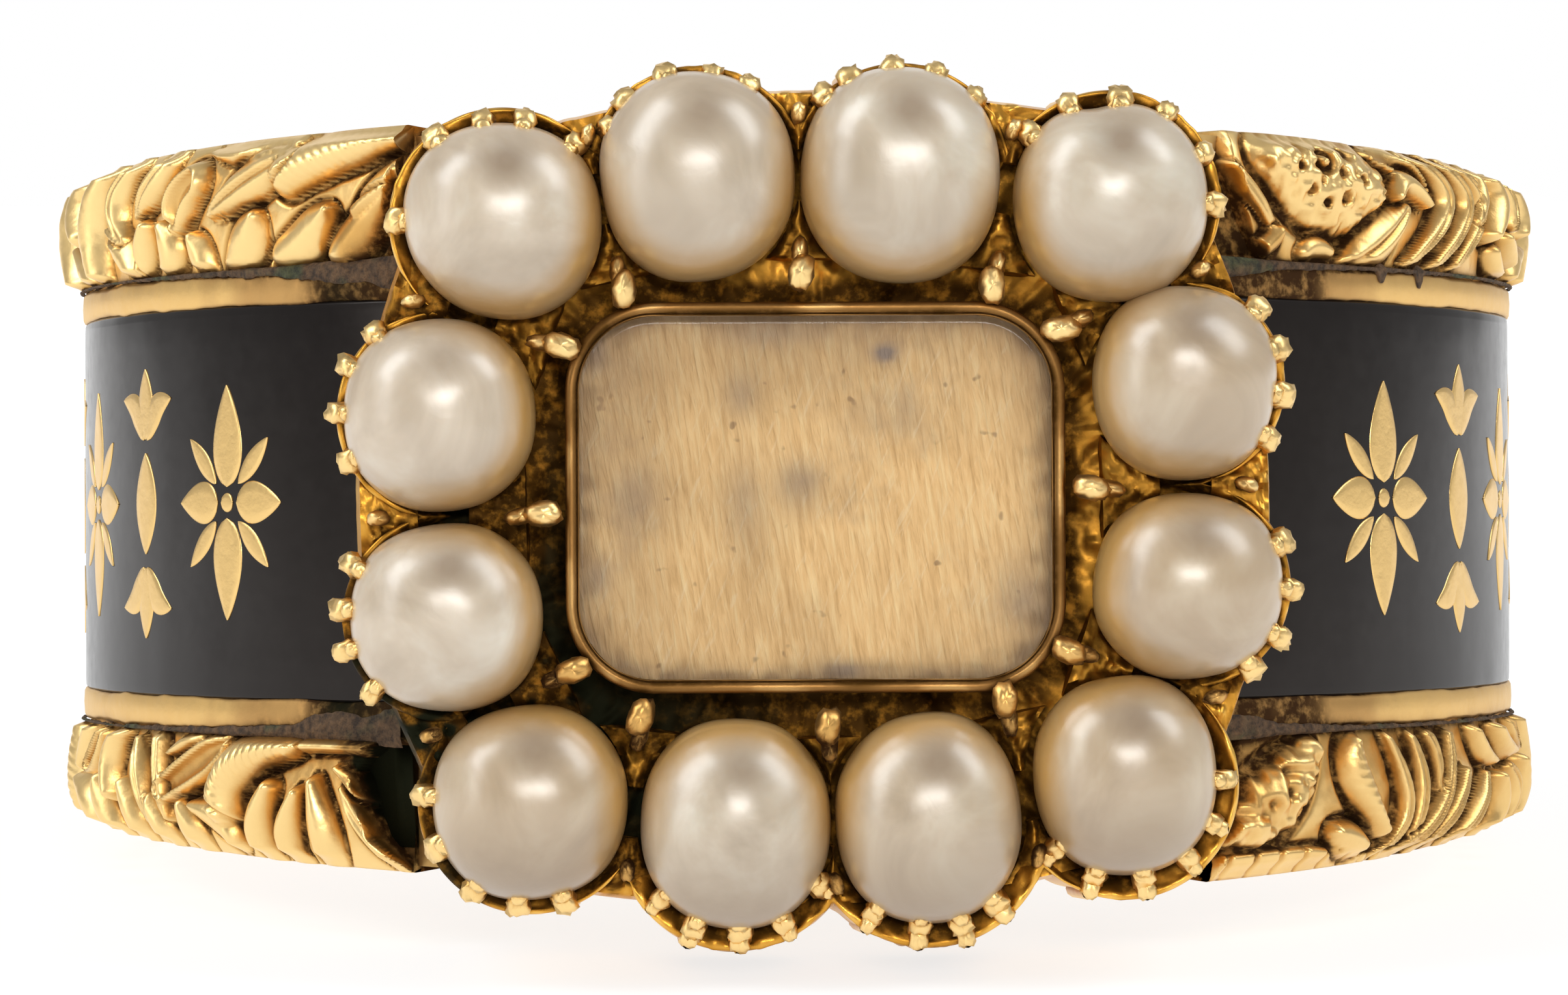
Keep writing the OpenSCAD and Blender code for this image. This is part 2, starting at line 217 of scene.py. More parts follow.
class Graph:
    """The nodes of a material or of the world while they are put together."""

    def __init__(self, owner):
        owner.use_nodes = True
        self.nodes = owner.node_tree.nodes
        self.links = owner.node_tree.links

    def feed(self, socket, value):
        """Links a socket to another node's output, or sets it to a number, a vector or a colour."""
        if isinstance(value, bpy.types.NodeSocket):
            self.links.new(value, socket)
        elif socket.type == "RGBA":
            socket.default_value = (*value, 1)
        else:
            socket.default_value = value

    def node(self, kind, output, inputs, **settings):
        """A new node with its inputs and settings. It gives one of the node's outputs."""
        node = self.nodes.new("ShaderNode" + kind)
        for key, value in settings.items():
            setattr(node, key, value)
        for key, value in inputs.items():
            self.feed(node.inputs[key], value)
        return node.outputs[output]

    def shade(self, inputs, name="Principled BSDF"):
        """Feeds a node that is there already."""
        for key, value in inputs.items():
            self.feed(self.nodes[name].inputs[key], value)

    def place(self, output="Object"):
        return self.node("TexCoord", output, {})

    def stored(self, name):
        """A value that each vertex of the mesh carries."""
        return self.node("Attribute", "Fac", {}, attribute_name=name)

    def noise(self, place, scale, detail, rough, distortion=0.0):
        inputs = {"Vector": place, "Scale": scale, "Detail": detail}
        return self.node("TexNoise", "Fac", {**inputs, "Roughness": rough, "Distortion": distortion})

    def ramp(self, factor, stops):
        node = self.nodes.new("ShaderNodeValToRGB")
        while len(node.color_ramp.elements) < len(stops):
            node.color_ramp.elements.new(0.5)
        for element, (position, colour) in zip(node.color_ramp.elements, stops):
            element.position = position
            element.color = (*colour, 1)
        self.feed(node.inputs["Fac"], factor)
        return node.outputs["Color"]

    def mix(self, factor, a, b, blend="MIX"):
        return self.node("Mix", 2, {0: factor, 6: a, 7: b}, data_type="RGBA", blend_type=blend)

    def math(self, operation, a, b=0.5, c=0.5, clamp=False):
        return self.node("Math", 0, {0: a, 1: b, 2: c}, operation=operation, use_clamp=clamp)

    def span(self, value, low, high, out_low=0.0, out_high=1.0):
        """A smooth step of the value, from one level at low to the other at high."""
        inputs = {"Value": value, "From Min": low, "From Max": high, "To Min": out_low, "To Max": out_high}
        return self.node("MapRange", "Result", inputs, interpolation_type="SMOOTHSTEP")

    def bump(self, height, distance, strength=1.0):
        return self.node("Bump", 0, {"Height": height, "Distance": distance, "Strength": strength})


def new_material(name):
    material = bpy.data.materials.new(name)
    return material, Graph(material)


# Colours of the gold's crevices, where grime meets painted shade, and of its green dirt
BROWN = (0.07, 0.032, 0.012)
UMBER = (0.09, 0.04, 0.007)
VERDIGRIS = (0.014, 0.015, 0.007)


def gold(name, bright, warm, grime_and_shade, rough, shade_and_grime_reach, shade_and_grime_limits):
    """Worn gold: ambient occlusion paints shade into it, warmer and darker in its hollows and brown in its
    crevices, where there is grime too, and it darkens wherever its mesh carries dirt and painted shade.
    """
    material, graph = new_material(name)
    place = graph.place()
    # Ambient occlusion drives the colour below: painted shade in the hollows, with grime in the crevices as
    # well
    openness = graph.node("AmbientOcclusion", "AO", {"Distance": shade_and_grime_reach}, samples=8)
    patches = graph.noise(place, 900, 5, 0.6)
    fine = graph.noise(place, 6000, 4, 0.6)
    dirt_and_shade = graph.stored("dirt_and_shade")
    uneven = graph.math("MULTIPLY_ADD", patches, 0.4, -0.2)
    open_enough = graph.math("SUBTRACT", graph.math("ADD", openness, uneven), dirt_and_shade)
    unshaded_and_clean = graph.span(open_enough, *shade_and_grime_limits)
    shaded_to_lit_gold = graph.mix(graph.span(open_enough, shade_and_grime_limits[1], 0.95), warm, bright)
    shaded_and_soiled = graph.mix(graph.span(fine, 0.45, 0.72, 0.0, 0.75), grime_and_shade, warm)
    colour = graph.mix(unshaded_and_clean, shaded_and_soiled, shaded_to_lit_gold)
    across = graph.node("SeparateXYZ", "X", {0: place})
    diagonal = graph.math("ADD", across, across.node.outputs["Z"])
    lower_left = graph.span(diagonal, 0.0005, 0.0045, 1.0, 0.1)
    thick = graph.span(dirt_and_shade, 0.68, 0.95)
    roughness = graph.math("MULTIPLY_ADD", fine, 0.18, rough - 0.09)
    shaded_and_dirty = graph.math("SUBTRACT", 1.0, unshaded_and_clean)
    inputs = {
        "Base Color": graph.mix(graph.math("MULTIPLY", thick, lower_left), colour, VERDIGRIS),
        "Metallic": graph.span(unshaded_and_clean, -1.6, 0.2),
        "Roughness": graph.math("MULTIPLY_ADD", shaded_and_dirty, 0.35, roughness),
        "Normal": graph.bump(fine, 0.00001, 0.6),
    }
    graph.shade(inputs)
    return material


chased_gold = gold("chased_gold", (0.98, 0.7, 0.3), (0.7, 0.4, 0.12), BROWN, 0.36, 0.0005, (0.08, 0.5))
plain_gold = gold("plain_gold", (0.87, 0.57, 0.21), (0.58, 0.34, 0.12), BROWN, 0.45, 0.0004, (0.15, 0.55))
inlay_gold = gold("inlay_gold", (0.9, 0.61, 0.24), (0.78, 0.48, 0.16), BROWN, 0.34, 0.0001, (0.0, 0.2))
setting_gold = gold(
    "setting_gold", (0.92, 0.56, 0.13), (0.66, 0.31, 0.04), UMBER, 0.33, 0.0006, (0.02, 0.68)
)
rim_gold = gold("rim_gold", (0.5, 0.29, 0.1), (0.27, 0.135, 0.04), UMBER, 0.4, 0.0003, (0.1, 0.8))


def dirt_material():
    """Old dirt packed beside the chasing: brown, matt and a little green."""
    material, graph = new_material("packed_dirt")
    place = graph.place()
    fine = graph.noise(place, 9000, 4, 0.7)
    patch = graph.noise(place, 1100, 3, 0.6)
    brown = graph.ramp(fine, [(0.35, (0.026, 0.014, 0.007)), (0.65, (0.13, 0.072, 0.033))])
    green = graph.ramp(fine, [(0.35, (0.014, 0.016, 0.008)), (0.65, (0.07, 0.075, 0.03))])
    colour = graph.mix(graph.span(patch, 0.5, 0.65), brown, green)
    graph.shade({"Base Color": colour, "Roughness": 0.85, "Normal": graph.bump(fine, 0.00004)})
    return material


def enamel_material():
    material, graph = new_material("black_enamel")
    place = graph.place()
    cloud = graph.noise(place, 300, 4, 0.6)
    fine = graph.noise(place, 4000, 3, 0.6)
    inputs = {
        "Base Color": graph.ramp(cloud, [(0.3, (0.005, 0.004, 0.004)), (0.8, (0.012, 0.01, 0.009))]),
        "Roughness": graph.math("MULTIPLY_ADD", fine, 0.16, 0.1),
        "Specular IOR Level": 0.27,
        "Specular Tint": (1.0, 0.87, 0.79),
        "Normal": graph.bump(cloud, 0.00002, 0.5),
    }
    graph.shade(inputs)
    return material


def pearl_material():
    """Nacre: cream to grey clouds, with the tone and the stain that its mesh carries, and a painted
    reflection and painted shade: a dark patch high on each pearl and darker undersides.
    """
    material, graph = new_material("nacre")
    place = graph.place()
    cloud = graph.noise(place, 700, 4, 0.6, 0.6)
    rings = graph.noise(place, 2600, 3, 0.5, 1.5)
    creams = [(0.25, (0.43, 0.335, 0.23)), (0.5, (0.61, 0.505, 0.38)), (0.75, (0.79, 0.73, 0.615))]
    tints = [(0.0, (0.74, 0.64, 0.5)), (0.5, (0.87, 0.86, 0.83)), (1.0, (1.0, 1.0, 1.0))]
    colour = graph.mix(1.0, graph.ramp(cloud, creams), graph.ramp(graph.stored("tone"), tints), "MULTIPLY")
    amount = graph.math("MULTIPLY", graph.stored("stain"), graph.span(cloud, 0.2, 0.8, 1.1, 0.8))
    colour = graph.mix(amount, colour, (0.5, 0.29, 0.09))
    inputs = {
        # Painted reflection and painted shade: a dark patch high on each pearl and darker undersides
        "Base Color": graph.mix(graph.stored("crown"), colour, (0.26, 0.18, 0.11)),
        "Roughness": 0.32,
        "Coat Weight": 0.9,
        "Coat Roughness": 0.3,
        "Coat IOR": 1.8,
        "Subsurface Weight": 0.25,
        "Subsurface Radius": (0.0006, 0.0004, 0.00025),
        "Normal": graph.bump(rings, 0.00002, 0.35),
    }
    graph.shade(inputs)
    return material


def panel_material():
    """Fine upright hair over gilt, with greyer blotches and darker corners, random clouds of tone, painted
    shade towards the top and sides, and a painted highlight low and right of the middle.
    """
    material, graph = new_material("hair_and_gilt")
    place = graph.place()

    def drawn_out(lean, stretch):
        """The place for upright streaks that lean by some degrees."""
        inputs = {"Vector": place, "Rotation": (0, math.radians(lean), 0), "Scale": (1, 1, stretch)}
        return graph.node("Mapping", 0, inputs, vector_type="TEXTURE")

    strands = drawn_out(-9, 12)
    hair = graph.noise(strands, 15000, 3, 0.65, 0.4)
    coarse = graph.noise(strands, 2500, 4, 0.6, 0.8)
    blotch = graph.noise(place, 520, 5, 0.6)
    scratch = graph.noise(drawn_out(22, 9), 15000, 3, 0.6, 0.5)
    specks = graph.noise(place, 3800, 2, 0.5)
    gilts = [(0.28, (0.72, 0.46, 0.2)), (0.5, (0.92, 0.63, 0.31)), (0.72, (1.0, 0.77, 0.43))]
    colour = graph.ramp(hair, gilts)
    for texture, low, high, most, tint in (
        (blotch, 0.5, 0.7, 0.6, (0.52, 0.38, 0.25)),
        (coarse, 0.45, 0.75, 0.3, (0.9, 0.66, 0.36)),
        (scratch, 0.57, 0.72, 0.4, (1.0, 0.84, 0.56)),
        (specks, 0.69, 0.76, 0.6, (0.25, 0.14, 0.07)),
    ):
        colour = graph.mix(graph.span(texture, low, high, 0.0, most), colour, tint)
    # Random tone with painted shade and a painted highlight, as the mesh carries them
    colour = graph.mix(graph.stored("tone_and_painted_light"), colour, (0.3, 0.18, 0.09))
    ragged = graph.math("MULTIPLY_ADD", blotch, 0.9, 0.55)
    blotted = graph.math("MULTIPLY", graph.stored("blot"), ragged, clamp=True)
    colour = graph.mix(blotted, colour, (0.3, 0.23, 0.19))
    colour = graph.mix(graph.stored("edge"), colour, (0.2, 0.11, 0.05))
    bump = graph.bump(hair, 0.00003, 0.6)
    graph.shade({"Base Color": colour, "Roughness": 0.5, "Metallic": 0.35, "Normal": bump})
    return material


def crystal_material():
    """Clear crystal that shows as a clean gloss over what lies under it."""
    material, graph = new_material("crystal")
    graph.nodes.remove(graph.nodes["Principled BSDF"])
    clear = graph.node("BsdfTransparent", 0, {"Color": (0.97, 0.965, 0.95)})
    gloss = graph.node("BsdfGlossy", 0, {"Roughness": 0.1})
    fresnel = graph.node("Fresnel", 0, {"IOR": 1.27})
    graph.shade({"Surface": graph.node("MixShader", 0, {0: fresnel, 1: clear, 2: gloss})}, "Material Output")
    return material


packed_dirt = dirt_material()
black_enamel = enamel_material()
nacre = pearl_material()
hair_and_gilt = panel_material()
crystal = crystal_material()


# Hoop


# How much wider each chased border is than the hoop, by the head and at 60 degrees: left arm, right arm
FRONT_EXTRA = {1: ((0.08, 0.17), (0.02, 0.04)), -1: ((0.03, 0.03), (0.2, 0.14))}


def border_width(degrees, upper=0):
    c = np.cos(np.radians(degrees))
    width = np.where(c > 0, BORDER_W + BORDER_FLARE * c * c, BORDER_W - BACK_TAPER * c * c)
    if upper == 0:
        return width
    near = np.minimum(degrees, 360 - degrees)
    left, right = [np.interp(near, (30, 60), pair) for pair in FRONT_EXTRA[upper]]
    extra = np.where(np.sin(np.radians(degrees)) > 0, left, right)
    return width + extra * unit(0.6 + 0.6 * c)


# The rows of the hoop's section, from the bore, that its borders hide on each side
HOOP_SIDE = 6


def build_hoop():
    """The hoop's bore, rims, fillets and sunk field, turned as one section."""
    columns = 720
    degrees = np.linspace(0, 360, columns, endpoint=False)
    edge = FOOT + border_width(degrees) - 0.02
    wear = 0.025 * noise(degrees / 4, 0, 3, 90) + 0.012 * noise(degrees / 1.5, 0, 4, 240)
    half = [
        (BORE_R, edge * 0.5),
        (BORE_R, edge - 0.12),
        (BORE_R + 0.035, edge - 0.035),
        (BORE_R + 0.12, edge),
        (FACE_R - 0.35, edge - 0.02),
        (FACE_R - 0.35, FOOT + 0.3),
        (FACE_R - 0.14, FOOT + 0.05),
        (FACE_R - 0.02, FOOT - 0.01 + wear),
        (FACE_R + 0.012, FOOT - 0.06 + wear),
        (FACE_R + 0.022, (FOOT + FIELD) / 2),
        (FACE_R + 0.014, FIELD + 0.05 - wear),
        (FACE_R - 0.01, FIELD + 0.005 - wear),
        (FACE_R - 0.1, FIELD - 0.01),
        (FACE_R - 0.16, FIELD / 2),
    ]
    rows = half + [(r, -z) for r, z in reversed(half)]
    points = np.stack([on_ring(degrees, r, z) for r, z in rows])
    faces = grid_faces(len(rows), columns, close_rows=True, close_columns=True)
    piece = add_piece("hoop", points, faces, plain_gold)
    near = np.minimum(degrees, 360 - degrees)
    stain = 0.85 * unit((52 - near) / 15) + 0.12 * noise(degrees / 2, 9, 5, 180)
    dirt_and_shade = np.zeros((len(rows), columns))
    dirt_and_shade[HOOP_SIDE:-HOOP_SIDE] = unit(stain)
    set_values(piece, "dirt_and_shade", dirt_and_shade)
    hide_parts("gold_ring")


def build_enamel():
    columns = 900
    degrees = np.linspace(BORDER_STOP, 360 - BORDER_STOP, columns)
    half = [(0, 0), (0.25, 0), (0.55, 0), (0.8, 0), (0.95, 0), (0.985, 0.004), (1, 0.02), (1, 0.2)]
    share, depth = both_sides(half).T[:, :, None]
    wave = 0.004 * noise(degrees / 3, share * 3 + 9, 6)
    points = on_ring(degrees, FACE_R - 0.006 - depth + wave, FIELD * share)
    faces = grid_faces(len(share), columns, close_rows=True)
    piece = add_piece("enamel_band", points, faces, black_enamel)
    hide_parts("enamel")


# Chased borders

# Each stroke of the chasing runs from a start by a middle to an end. The columns are the places of the
# three, as degrees from the middle of the head and shares of the border's width from the fillet, then the
# half widths at the three and the height in millimetres, and the form where it isn't round.
ARM_UPPER_LEFT = [
    (33.5, 0.4, 30.8, 0.6, 27.5, 0.78, 0.16, 0.22, 0.12, 0.3),
    (28.5, 1.02, 35, 0.88, 40.5, 0.71, 0.16, 0.27, 0.28, 0.38, "ribbed"),
    (40.5, 0.95, 45, 0.9, 50, 0.93, 0.1, 0.16, 0.05, 0.22),
    (40, 0.85, 44.5, 0.68, 49, 0.45, 0.1, 0.26, 0.06, 0.28, "leaf"),
    (41, 0.1, 38.5, 0.25, 36.5, 0.42, 0.26, 0.28, 0.1, 0.26),
    (35.5, 0.08, 33.8, 0.25, 31, 0.5, 0.24, 0.26, 0.12, 0.27),
    (46.5, 0.02, 45.5, 0.2, 44, 0.4, 0.28, 0.3, 0.12, 0.24),
    (51.5, 0.72, 53, 0.6, 53.5, 0.45, 0.24, 0.28, 0.2, 0.3, "cup"),
    (50.5, 0.02, 51, 0.15, 51.5, 0.3, 0.18, 0.2, 0.08, 0.24),
    (55.5, 0.02, 55, 0.2, 55.5, 0.4, 0.2, 0.24, 0.1, 0.26),
    (55, 1.0, 57, 0.8, 59.5, 0.5, 0.12, 0.24, 0.05, 0.28, "leaf"),
    (59.5, 0.02, 59.5, 0.2, 58.5, 0.42, 0.14, 0.22, 0.1, 0.25),
    (60.5, 0.02, 62.5, 0.2, 64.5, 0.42, 0.16, 0.24, 0.1, 0.3),
    (61.5, 0.98, 64, 0.66, 62.5, 0.35, 0.14, 0.22, 0.08, 0.3, "leaf"),
    (67.5, 0.98, 70, 0.55, 69, 0.03, 0.16, 0.3, 0.2, 0.36),
    (75.5, 0.95, 77, 0.72, 74.5, 0.45, 0.2, 0.34, 0.16, 0.36),
    (73.5, 0.02, 75.5, 0.15, 77.5, 0.35, 0.14, 0.22, 0.1, 0.26),
    (82, 1.0, 83.5, 0.5, 81, 0.05, 0.2, 0.36, 0.2, 0.38),
]
ARM_LOWER_LEFT = [
    (42.5, 0.12, 37.5, 0.07, 31.5, 0.12, 0.15, 0.11, 0.1, 0.33),
    (47.5, 0.6, 46, 0.24, 40.5, 0.1, 0.24, 0.28, 0.16, 0.42, "ribbed"),
    (43.5, 0.98, 44, 0.75, 42.5, 0.42, 0.14, 0.22, 0.12, 0.3),
    (40.5, 0.98, 41, 0.78, 39.5, 0.45, 0.14, 0.18, 0.1, 0.3),
    (37.5, 0.98, 37.5, 0.78, 38, 0.36, 0.16, 0.22, 0.1, 0.28),
    (29, 1.0, 31.5, 0.6, 36, 0.25, 0.12, 0.16, 0.05, 0.32, "leaf"),
    (31, 1.0, 33.5, 0.7, 35.5, 0.4, 0.08, 0.12, 0.05, 0.26, "leaf"),
    (47, 0.9, 48.5, 0.72, 51.5, 0.62, 0.12, 0.2, 0.1, 0.24),
    (47.5, 0.08, 50.5, 0.25, 55.5, 0.5, 0.06, 0.26, 0.18, 0.3, "cup"),
    (52, 1.0, 52.5, 0.85, 53, 0.62, 0.16, 0.22, 0.1, 0.24),
    (57, 0.05, 56.5, 0.3, 55.5, 0.75, 0.12, 0.12, 0.06, 0.3, "leaf"),
    (51.5, 0.02, 53, 0.1, 55, 0.2, 0.12, 0.12, 0.05, 0.22),
    (56.5, 1.0, 57, 0.85, 58, 0.6, 0.12, 0.2, 0.1, 0.25),
    (60.5, 0.1, 59.5, 0.4, 58, 0.8, 0.05, 0.14, 0.05, 0.32, "leaf"),
    (61, 1.0, 61.5, 0.8, 62.5, 0.5, 0.12, 0.2, 0.1, 0.27),
    (63.5, 0.02, 65.5, 0.25, 65, 0.6, 0.12, 0.2, 0.12, 0.34),
    (66.5, 1.0, 68, 0.78, 68.5, 0.5, 0.14, 0.24, 0.12, 0.32),
    (68.5, 0.05, 70, 0.25, 72.5, 0.4, 0.14, 0.24, 0.12, 0.34, "cup"),
    (72.5, 1.0, 74, 0.75, 76, 0.55, 0.16, 0.28, 0.12, 0.34),
    (75.5, 0.02, 77, 0.2, 77.5, 0.42, 0.16, 0.26, 0.12, 0.3),
    (82, 0.98, 82.5, 0.5, 82.5, 0.05, 0.2, 0.34, 0.2, 0.36, "ribbed"),
]
ARM_UPPER_RIGHT = [
    (36.5, 0.86, 41, 0.72, 45, 0.62, 0.4, 0.62, 0.36, 0.34, "punched"),
    (29, 0.95, 33, 0.6, 36, 0.2, 0.05, 0.1, 0.05, 0.22, "leaf"),
    (34.5, 0.1, 35.5, 0.18, 36, 0.25, 0.12, 0.14, 0.1, 0.22),
    (39, 0.1, 40, 0.15, 41.5, 0.12, 0.12, 0.14, 0.1, 0.16),
    (43, 0.02, 46.5, 0.2, 49.5, 0.48, 0.1, 0.3, 0.12, 0.3, "leaf"),
    (46.5, 0.92, 50, 0.85, 52.5, 0.68, 0.1, 0.2, 0.05, 0.26, "cup"),
    (48.5, 0.6, 50, 0.72, 52.5, 0.55, 0.08, 0.16, 0.06, 0.3),
    (51, 0.98, 55.5, 0.6, 50.5, 0.05, 0.05, 0.17, 0.06, 0.33, "leaf"),
    (54.5, 1.0, 59, 0.6, 54, 0.02, 0.05, 0.15, 0.06, 0.34, "leaf"),
    (58, 1.0, 62, 0.6, 57.5, 0.02, 0.06, 0.16, 0.06, 0.32, "leaf"),
    (62.5, 0.95, 63, 0.75, 61.5, 0.5, 0.1, 0.16, 0.08, 0.28),
    (66, 0.9, 67, 0.7, 65, 0.4, 0.14, 0.24, 0.12, 0.36),
    (66.5, 0.25, 68, 0.12, 70, 0.05, 0.14, 0.2, 0.1, 0.28),
    (70, 0.4, 71.5, 0.32, 73, 0.2, 0.12, 0.18, 0.1, 0.32),
    (71, 0.98, 72.5, 0.78, 72, 0.55, 0.16, 0.26, 0.12, 0.36, "cup"),
    (76, 0.98, 78, 0.75, 77.5, 0.5, 0.18, 0.3, 0.14, 0.38),
    (76, 0.05, 77.5, 0.2, 79.5, 0.35, 0.16, 0.26, 0.12, 0.3),
    (84, 0.98, 84, 0.5, 83, 0.05, 0.2, 0.32, 0.2, 0.36),
]
ARM_LOWER_RIGHT = [
    (31.5, 0.7, 35, 0.5, 39, 0.15, 0.2, 0.42, 0.2, 0.34, "rough"),
    (30, 0.95, 38, 0.93, 46, 0.96, 0.16, 0.17, 0.1, 0.2, "flat"),
    (43.5, 0.05, 43.8, 0.35, 46.5, 0.75, 0.1, 0.24, 0.12, 0.32, "ribbed"),
    (41.5, 0.75, 43, 0.8, 44.5, 0.85, 0.14, 0.22, 0.14, 0.28),
    (47, 0.95, 49.5, 0.6, 47.5, 0.05, 0.06, 0.12, 0.05, 0.32, "leaf"),
    (50, 0.98, 51.5, 0.5, 50.5, 0.05, 0.06, 0.13, 0.05, 0.33, "leaf"),
    (48, 1.0, 54, 0.7, 56.5, 0.1, 0.08, 0.14, 0.08, 0.33, "leaf"),
    (52.5, 1.0, 56.5, 0.75, 59.5, 0.4, 0.08, 0.14, 0.07, 0.3, "leaf"),
    (53.5, 0.08, 54.5, 0.25, 54.5, 0.5, 0.1, 0.1, 0.04, 0.26, "leaf"),
    (58, 1.0, 61.5, 0.8, 63.5, 0.45, 0.1, 0.16, 0.08, 0.3, "leaf"),
    (61.5, 0.05, 63, 0.25, 65, 0.35, 0.1, 0.16, 0.08, 0.28),
    (66, 0.98, 67.5, 0.78, 66.5, 0.5, 0.14, 0.22, 0.1, 0.32),
    (67, 0.05, 69, 0.22, 71.5, 0.3, 0.14, 0.22, 0.1, 0.32),
    (71.5, 0.98, 72.5, 0.7, 70.5, 0.45, 0.14, 0.24, 0.1, 0.34, "leaf"),
    (76, 1.0, 77.5, 0.7, 76, 0.42, 0.16, 0.28, 0.12, 0.36),
    (75, 0.02, 77, 0.15, 79.5, 0.28, 0.14, 0.24, 0.12, 0.28, "cup"),
    (83.5, 1.0, 84, 0.5, 82.5, 0.05, 0.2, 0.32, 0.2, 0.36),
]
# The pattern that repeats round the hidden back, in degrees from the start of each repeat
BACK_REPEAT = [
    (1, 0.95, 4.5, 0.75, 9, 0.45, 0.12, 0.27, 0.1, 0.32, "ribbed"),
    (2, 0.05, 4, 0.2, 7, 0.25, 0.14, 0.24, 0.1, 0.25),
    (9.5, 0.95, 12, 0.7, 13.5, 0.4, 0.1, 0.24, 0.08, 0.3, "leaf"),
    (10.5, 0.02, 11, 0.2, 12, 0.4, 0.14, 0.24, 0.1, 0.26),
    (15, 0.35, 16.2, 0.5, 17, 0.62, 0.14, 0.26, 0.14, 0.32, "cup"),
    (15.5, 0.02, 17, 0.1, 19, 0.12, 0.12, 0.18, 0.1, 0.22),
    (18.5, 1.0, 20.5, 0.6, 20.5, 0.05, 0.1, 0.18, 0.1, 0.32, "leaf"),
    (23, 1.0, 24.8, 0.6, 24.5, 0.05, 0.1, 0.2, 0.12, 0.3),
]
BACK_START = 86
BACK_REPEATS = 7
BACK_STEP = (360 - 2 * BACK_START) / BACK_REPEATS
BACK_PITCH = 28.0

# How much wider each stroke is cut than its row says
STROKE_SPREAD = 1.22


def stroke_height(form, q, u, across):
    """The height over a stroke as a share of its own, from q, the distance as a share of its half width."""
    dome = np.cos(unit(q) * math.pi / 2) ** 0.75
    if form == "ribbed":
        return dome - 0.05 * dome**2 * (0.5 + 0.5 * np.cos((u + 0.5 * across) / 0.13 * 2 * math.pi)) ** 4
    if form == "leaf":
        return dome * (1 - 0.35 * bell(across, 0.05))
    if form == "cup":
        return unit(dome * 1.4) - 0.75 * bell(q, 0.5, 4)
    if form == "flat":
        return unit(dome * 1.8) - 0.4 * bell(u % 0.42 - 0.21, 0.035)
    return dome


def punched_hollows(height, s, v, middle_s, middle_v):
    """A bead inside a punched ring, and small pits about it."""
    ring = np.hypot(s - middle_s - 0.2, v - middle_v - 0.15)
    height = height - 0.2 * bell(ring - 0.12, 0.05)
    for ds, dv, r, depth in (
        (0.57, 0.3, 0.07, 0.12),
        (0.62, 0.08, 0.06, 0.1),
        (-0.08, 0.02, 0.07, 0.12),
        (-0.27, 0.26, 0.09, 0.2),
        (0.43, -0.2, 0.06, 0.12),
        (0.14, -0.36, 0.07, 0.12),
        (-0.16, -0.28, 0.08, 0.14),
        (-0.44, -0.06, 0.07, 0.12),
        (0.28, -0.1, 0.04, 0.08),
    ):
        height = height - depth * bell(np.hypot(s - middle_s - ds, v - middle_v - dv), r, 4)
    return height + 0.045 * noise(s / 0.09, v / 0.09, 15)


def chase(height, degrees, v, width, strokes):
    """Lays the strokes over a height field, each cutting a narrow channel round itself."""
    for s0, v0, s1, v1, s2, v2, w0, w1, w2, rise, *form in strokes:
        form = form[0] if form else "round"
        w0, w1, w2 = w0 * STROKE_SPREAD, w1 * STROKE_SPREAD, w2 * STROKE_SPREAD
        reach = 1.5 + 2 * max(w0, w1, w2) / ARC
        low = min(s0, s1, s2) - reach
        high = max(s0, s1, s2) + reach
        columns = np.nonzero((degrees >= low) & (degrees <= high))[0]
        if not len(columns):
            continue
        s = np.broadcast_to(degrees[columns] * ARC, (len(v), len(columns)))
        vv = v[:, columns]
        wide = width[columns].mean()
        best = np.full(s.shape, 1e9)
        best_q, best_u, best_across = best.copy(), best.copy(), best.copy()
        steps = 15
        a, b, c = [np.array([p * ARC, q * wide]) for p, q in ((s0, v0), (s1, v1), (s2, v2))]
        b = 2 * b - (a + c) / 2
        travelled = 0.0
        before = a
        for k in range(1, steps + 1):
            t = k / steps
            now = (1 - t) ** 2 * a + 2 * t * (1 - t) * b + t * t * c
            way = now - before
            length = np.hypot(*way)
            ps, pv = s - before[0], vv - before[1]
            f = unit((ps * way[0] + pv * way[1]) / length**2)
            d = np.hypot(ps - f * way[0], pv - f * way[1])
            side = np.sign(ps * way[1] - pv * way[0])
            tt = (k - 1 + f) / steps
            tip = np.where(tt < 0.5, w0, w2)
            half = tip + (w1 - tip) * np.sin(tt * math.pi)
            q = d / half
            closer = q < best_q
            best_q = np.where(closer, q, best_q)
            best_u = np.where(closer, travelled + f * length, best_u)
            best_across = np.where(closer, side * d, best_across)
            travelled += length
            before = now
        field = height[:, columns]
        channel = bell(best_q - 1.04, 0.14) * 0.12 * np.clip(rise / 0.3, 0.5, 1)
        field = field - channel
        body = rise * stroke_height(form, best_q, best_u, best_across)
        if form == "punched":
            body = punched_hollows(body, s, vv, s1 * ARC, v1 * wide)
        if form == "rough":
            body = body + 0.09 * noise(s / 0.13, vv / 0.13, 18) - 0.03
        field = np.where(best_q < 1, np.maximum(field, body - 0.03), field)
        height[:, columns] = field


# How far the borders' ends are cut down, and the degrees at which the soil beside the head runs out
END_DEPTH = 0.55
SOIL_END = 36.5

# Where each border stops short of the head: degrees at even steps from the fillet to the outer edge
END_CURVES = {
    "upper_left": [32.0, 31.5, 31.0, 30.5, 30.0],
    "lower_left": [32.0, 34.6, 34.0, 33.2, 30.5],
    "upper_right": [35.5, 34.0, 33.0, 32.2, 32.5],
    "lower_right": [33.0, 32.0, 31.5, 31.0, 30.5],
}


# Where the front half of a border passes into its back half
SIDE_END = 92


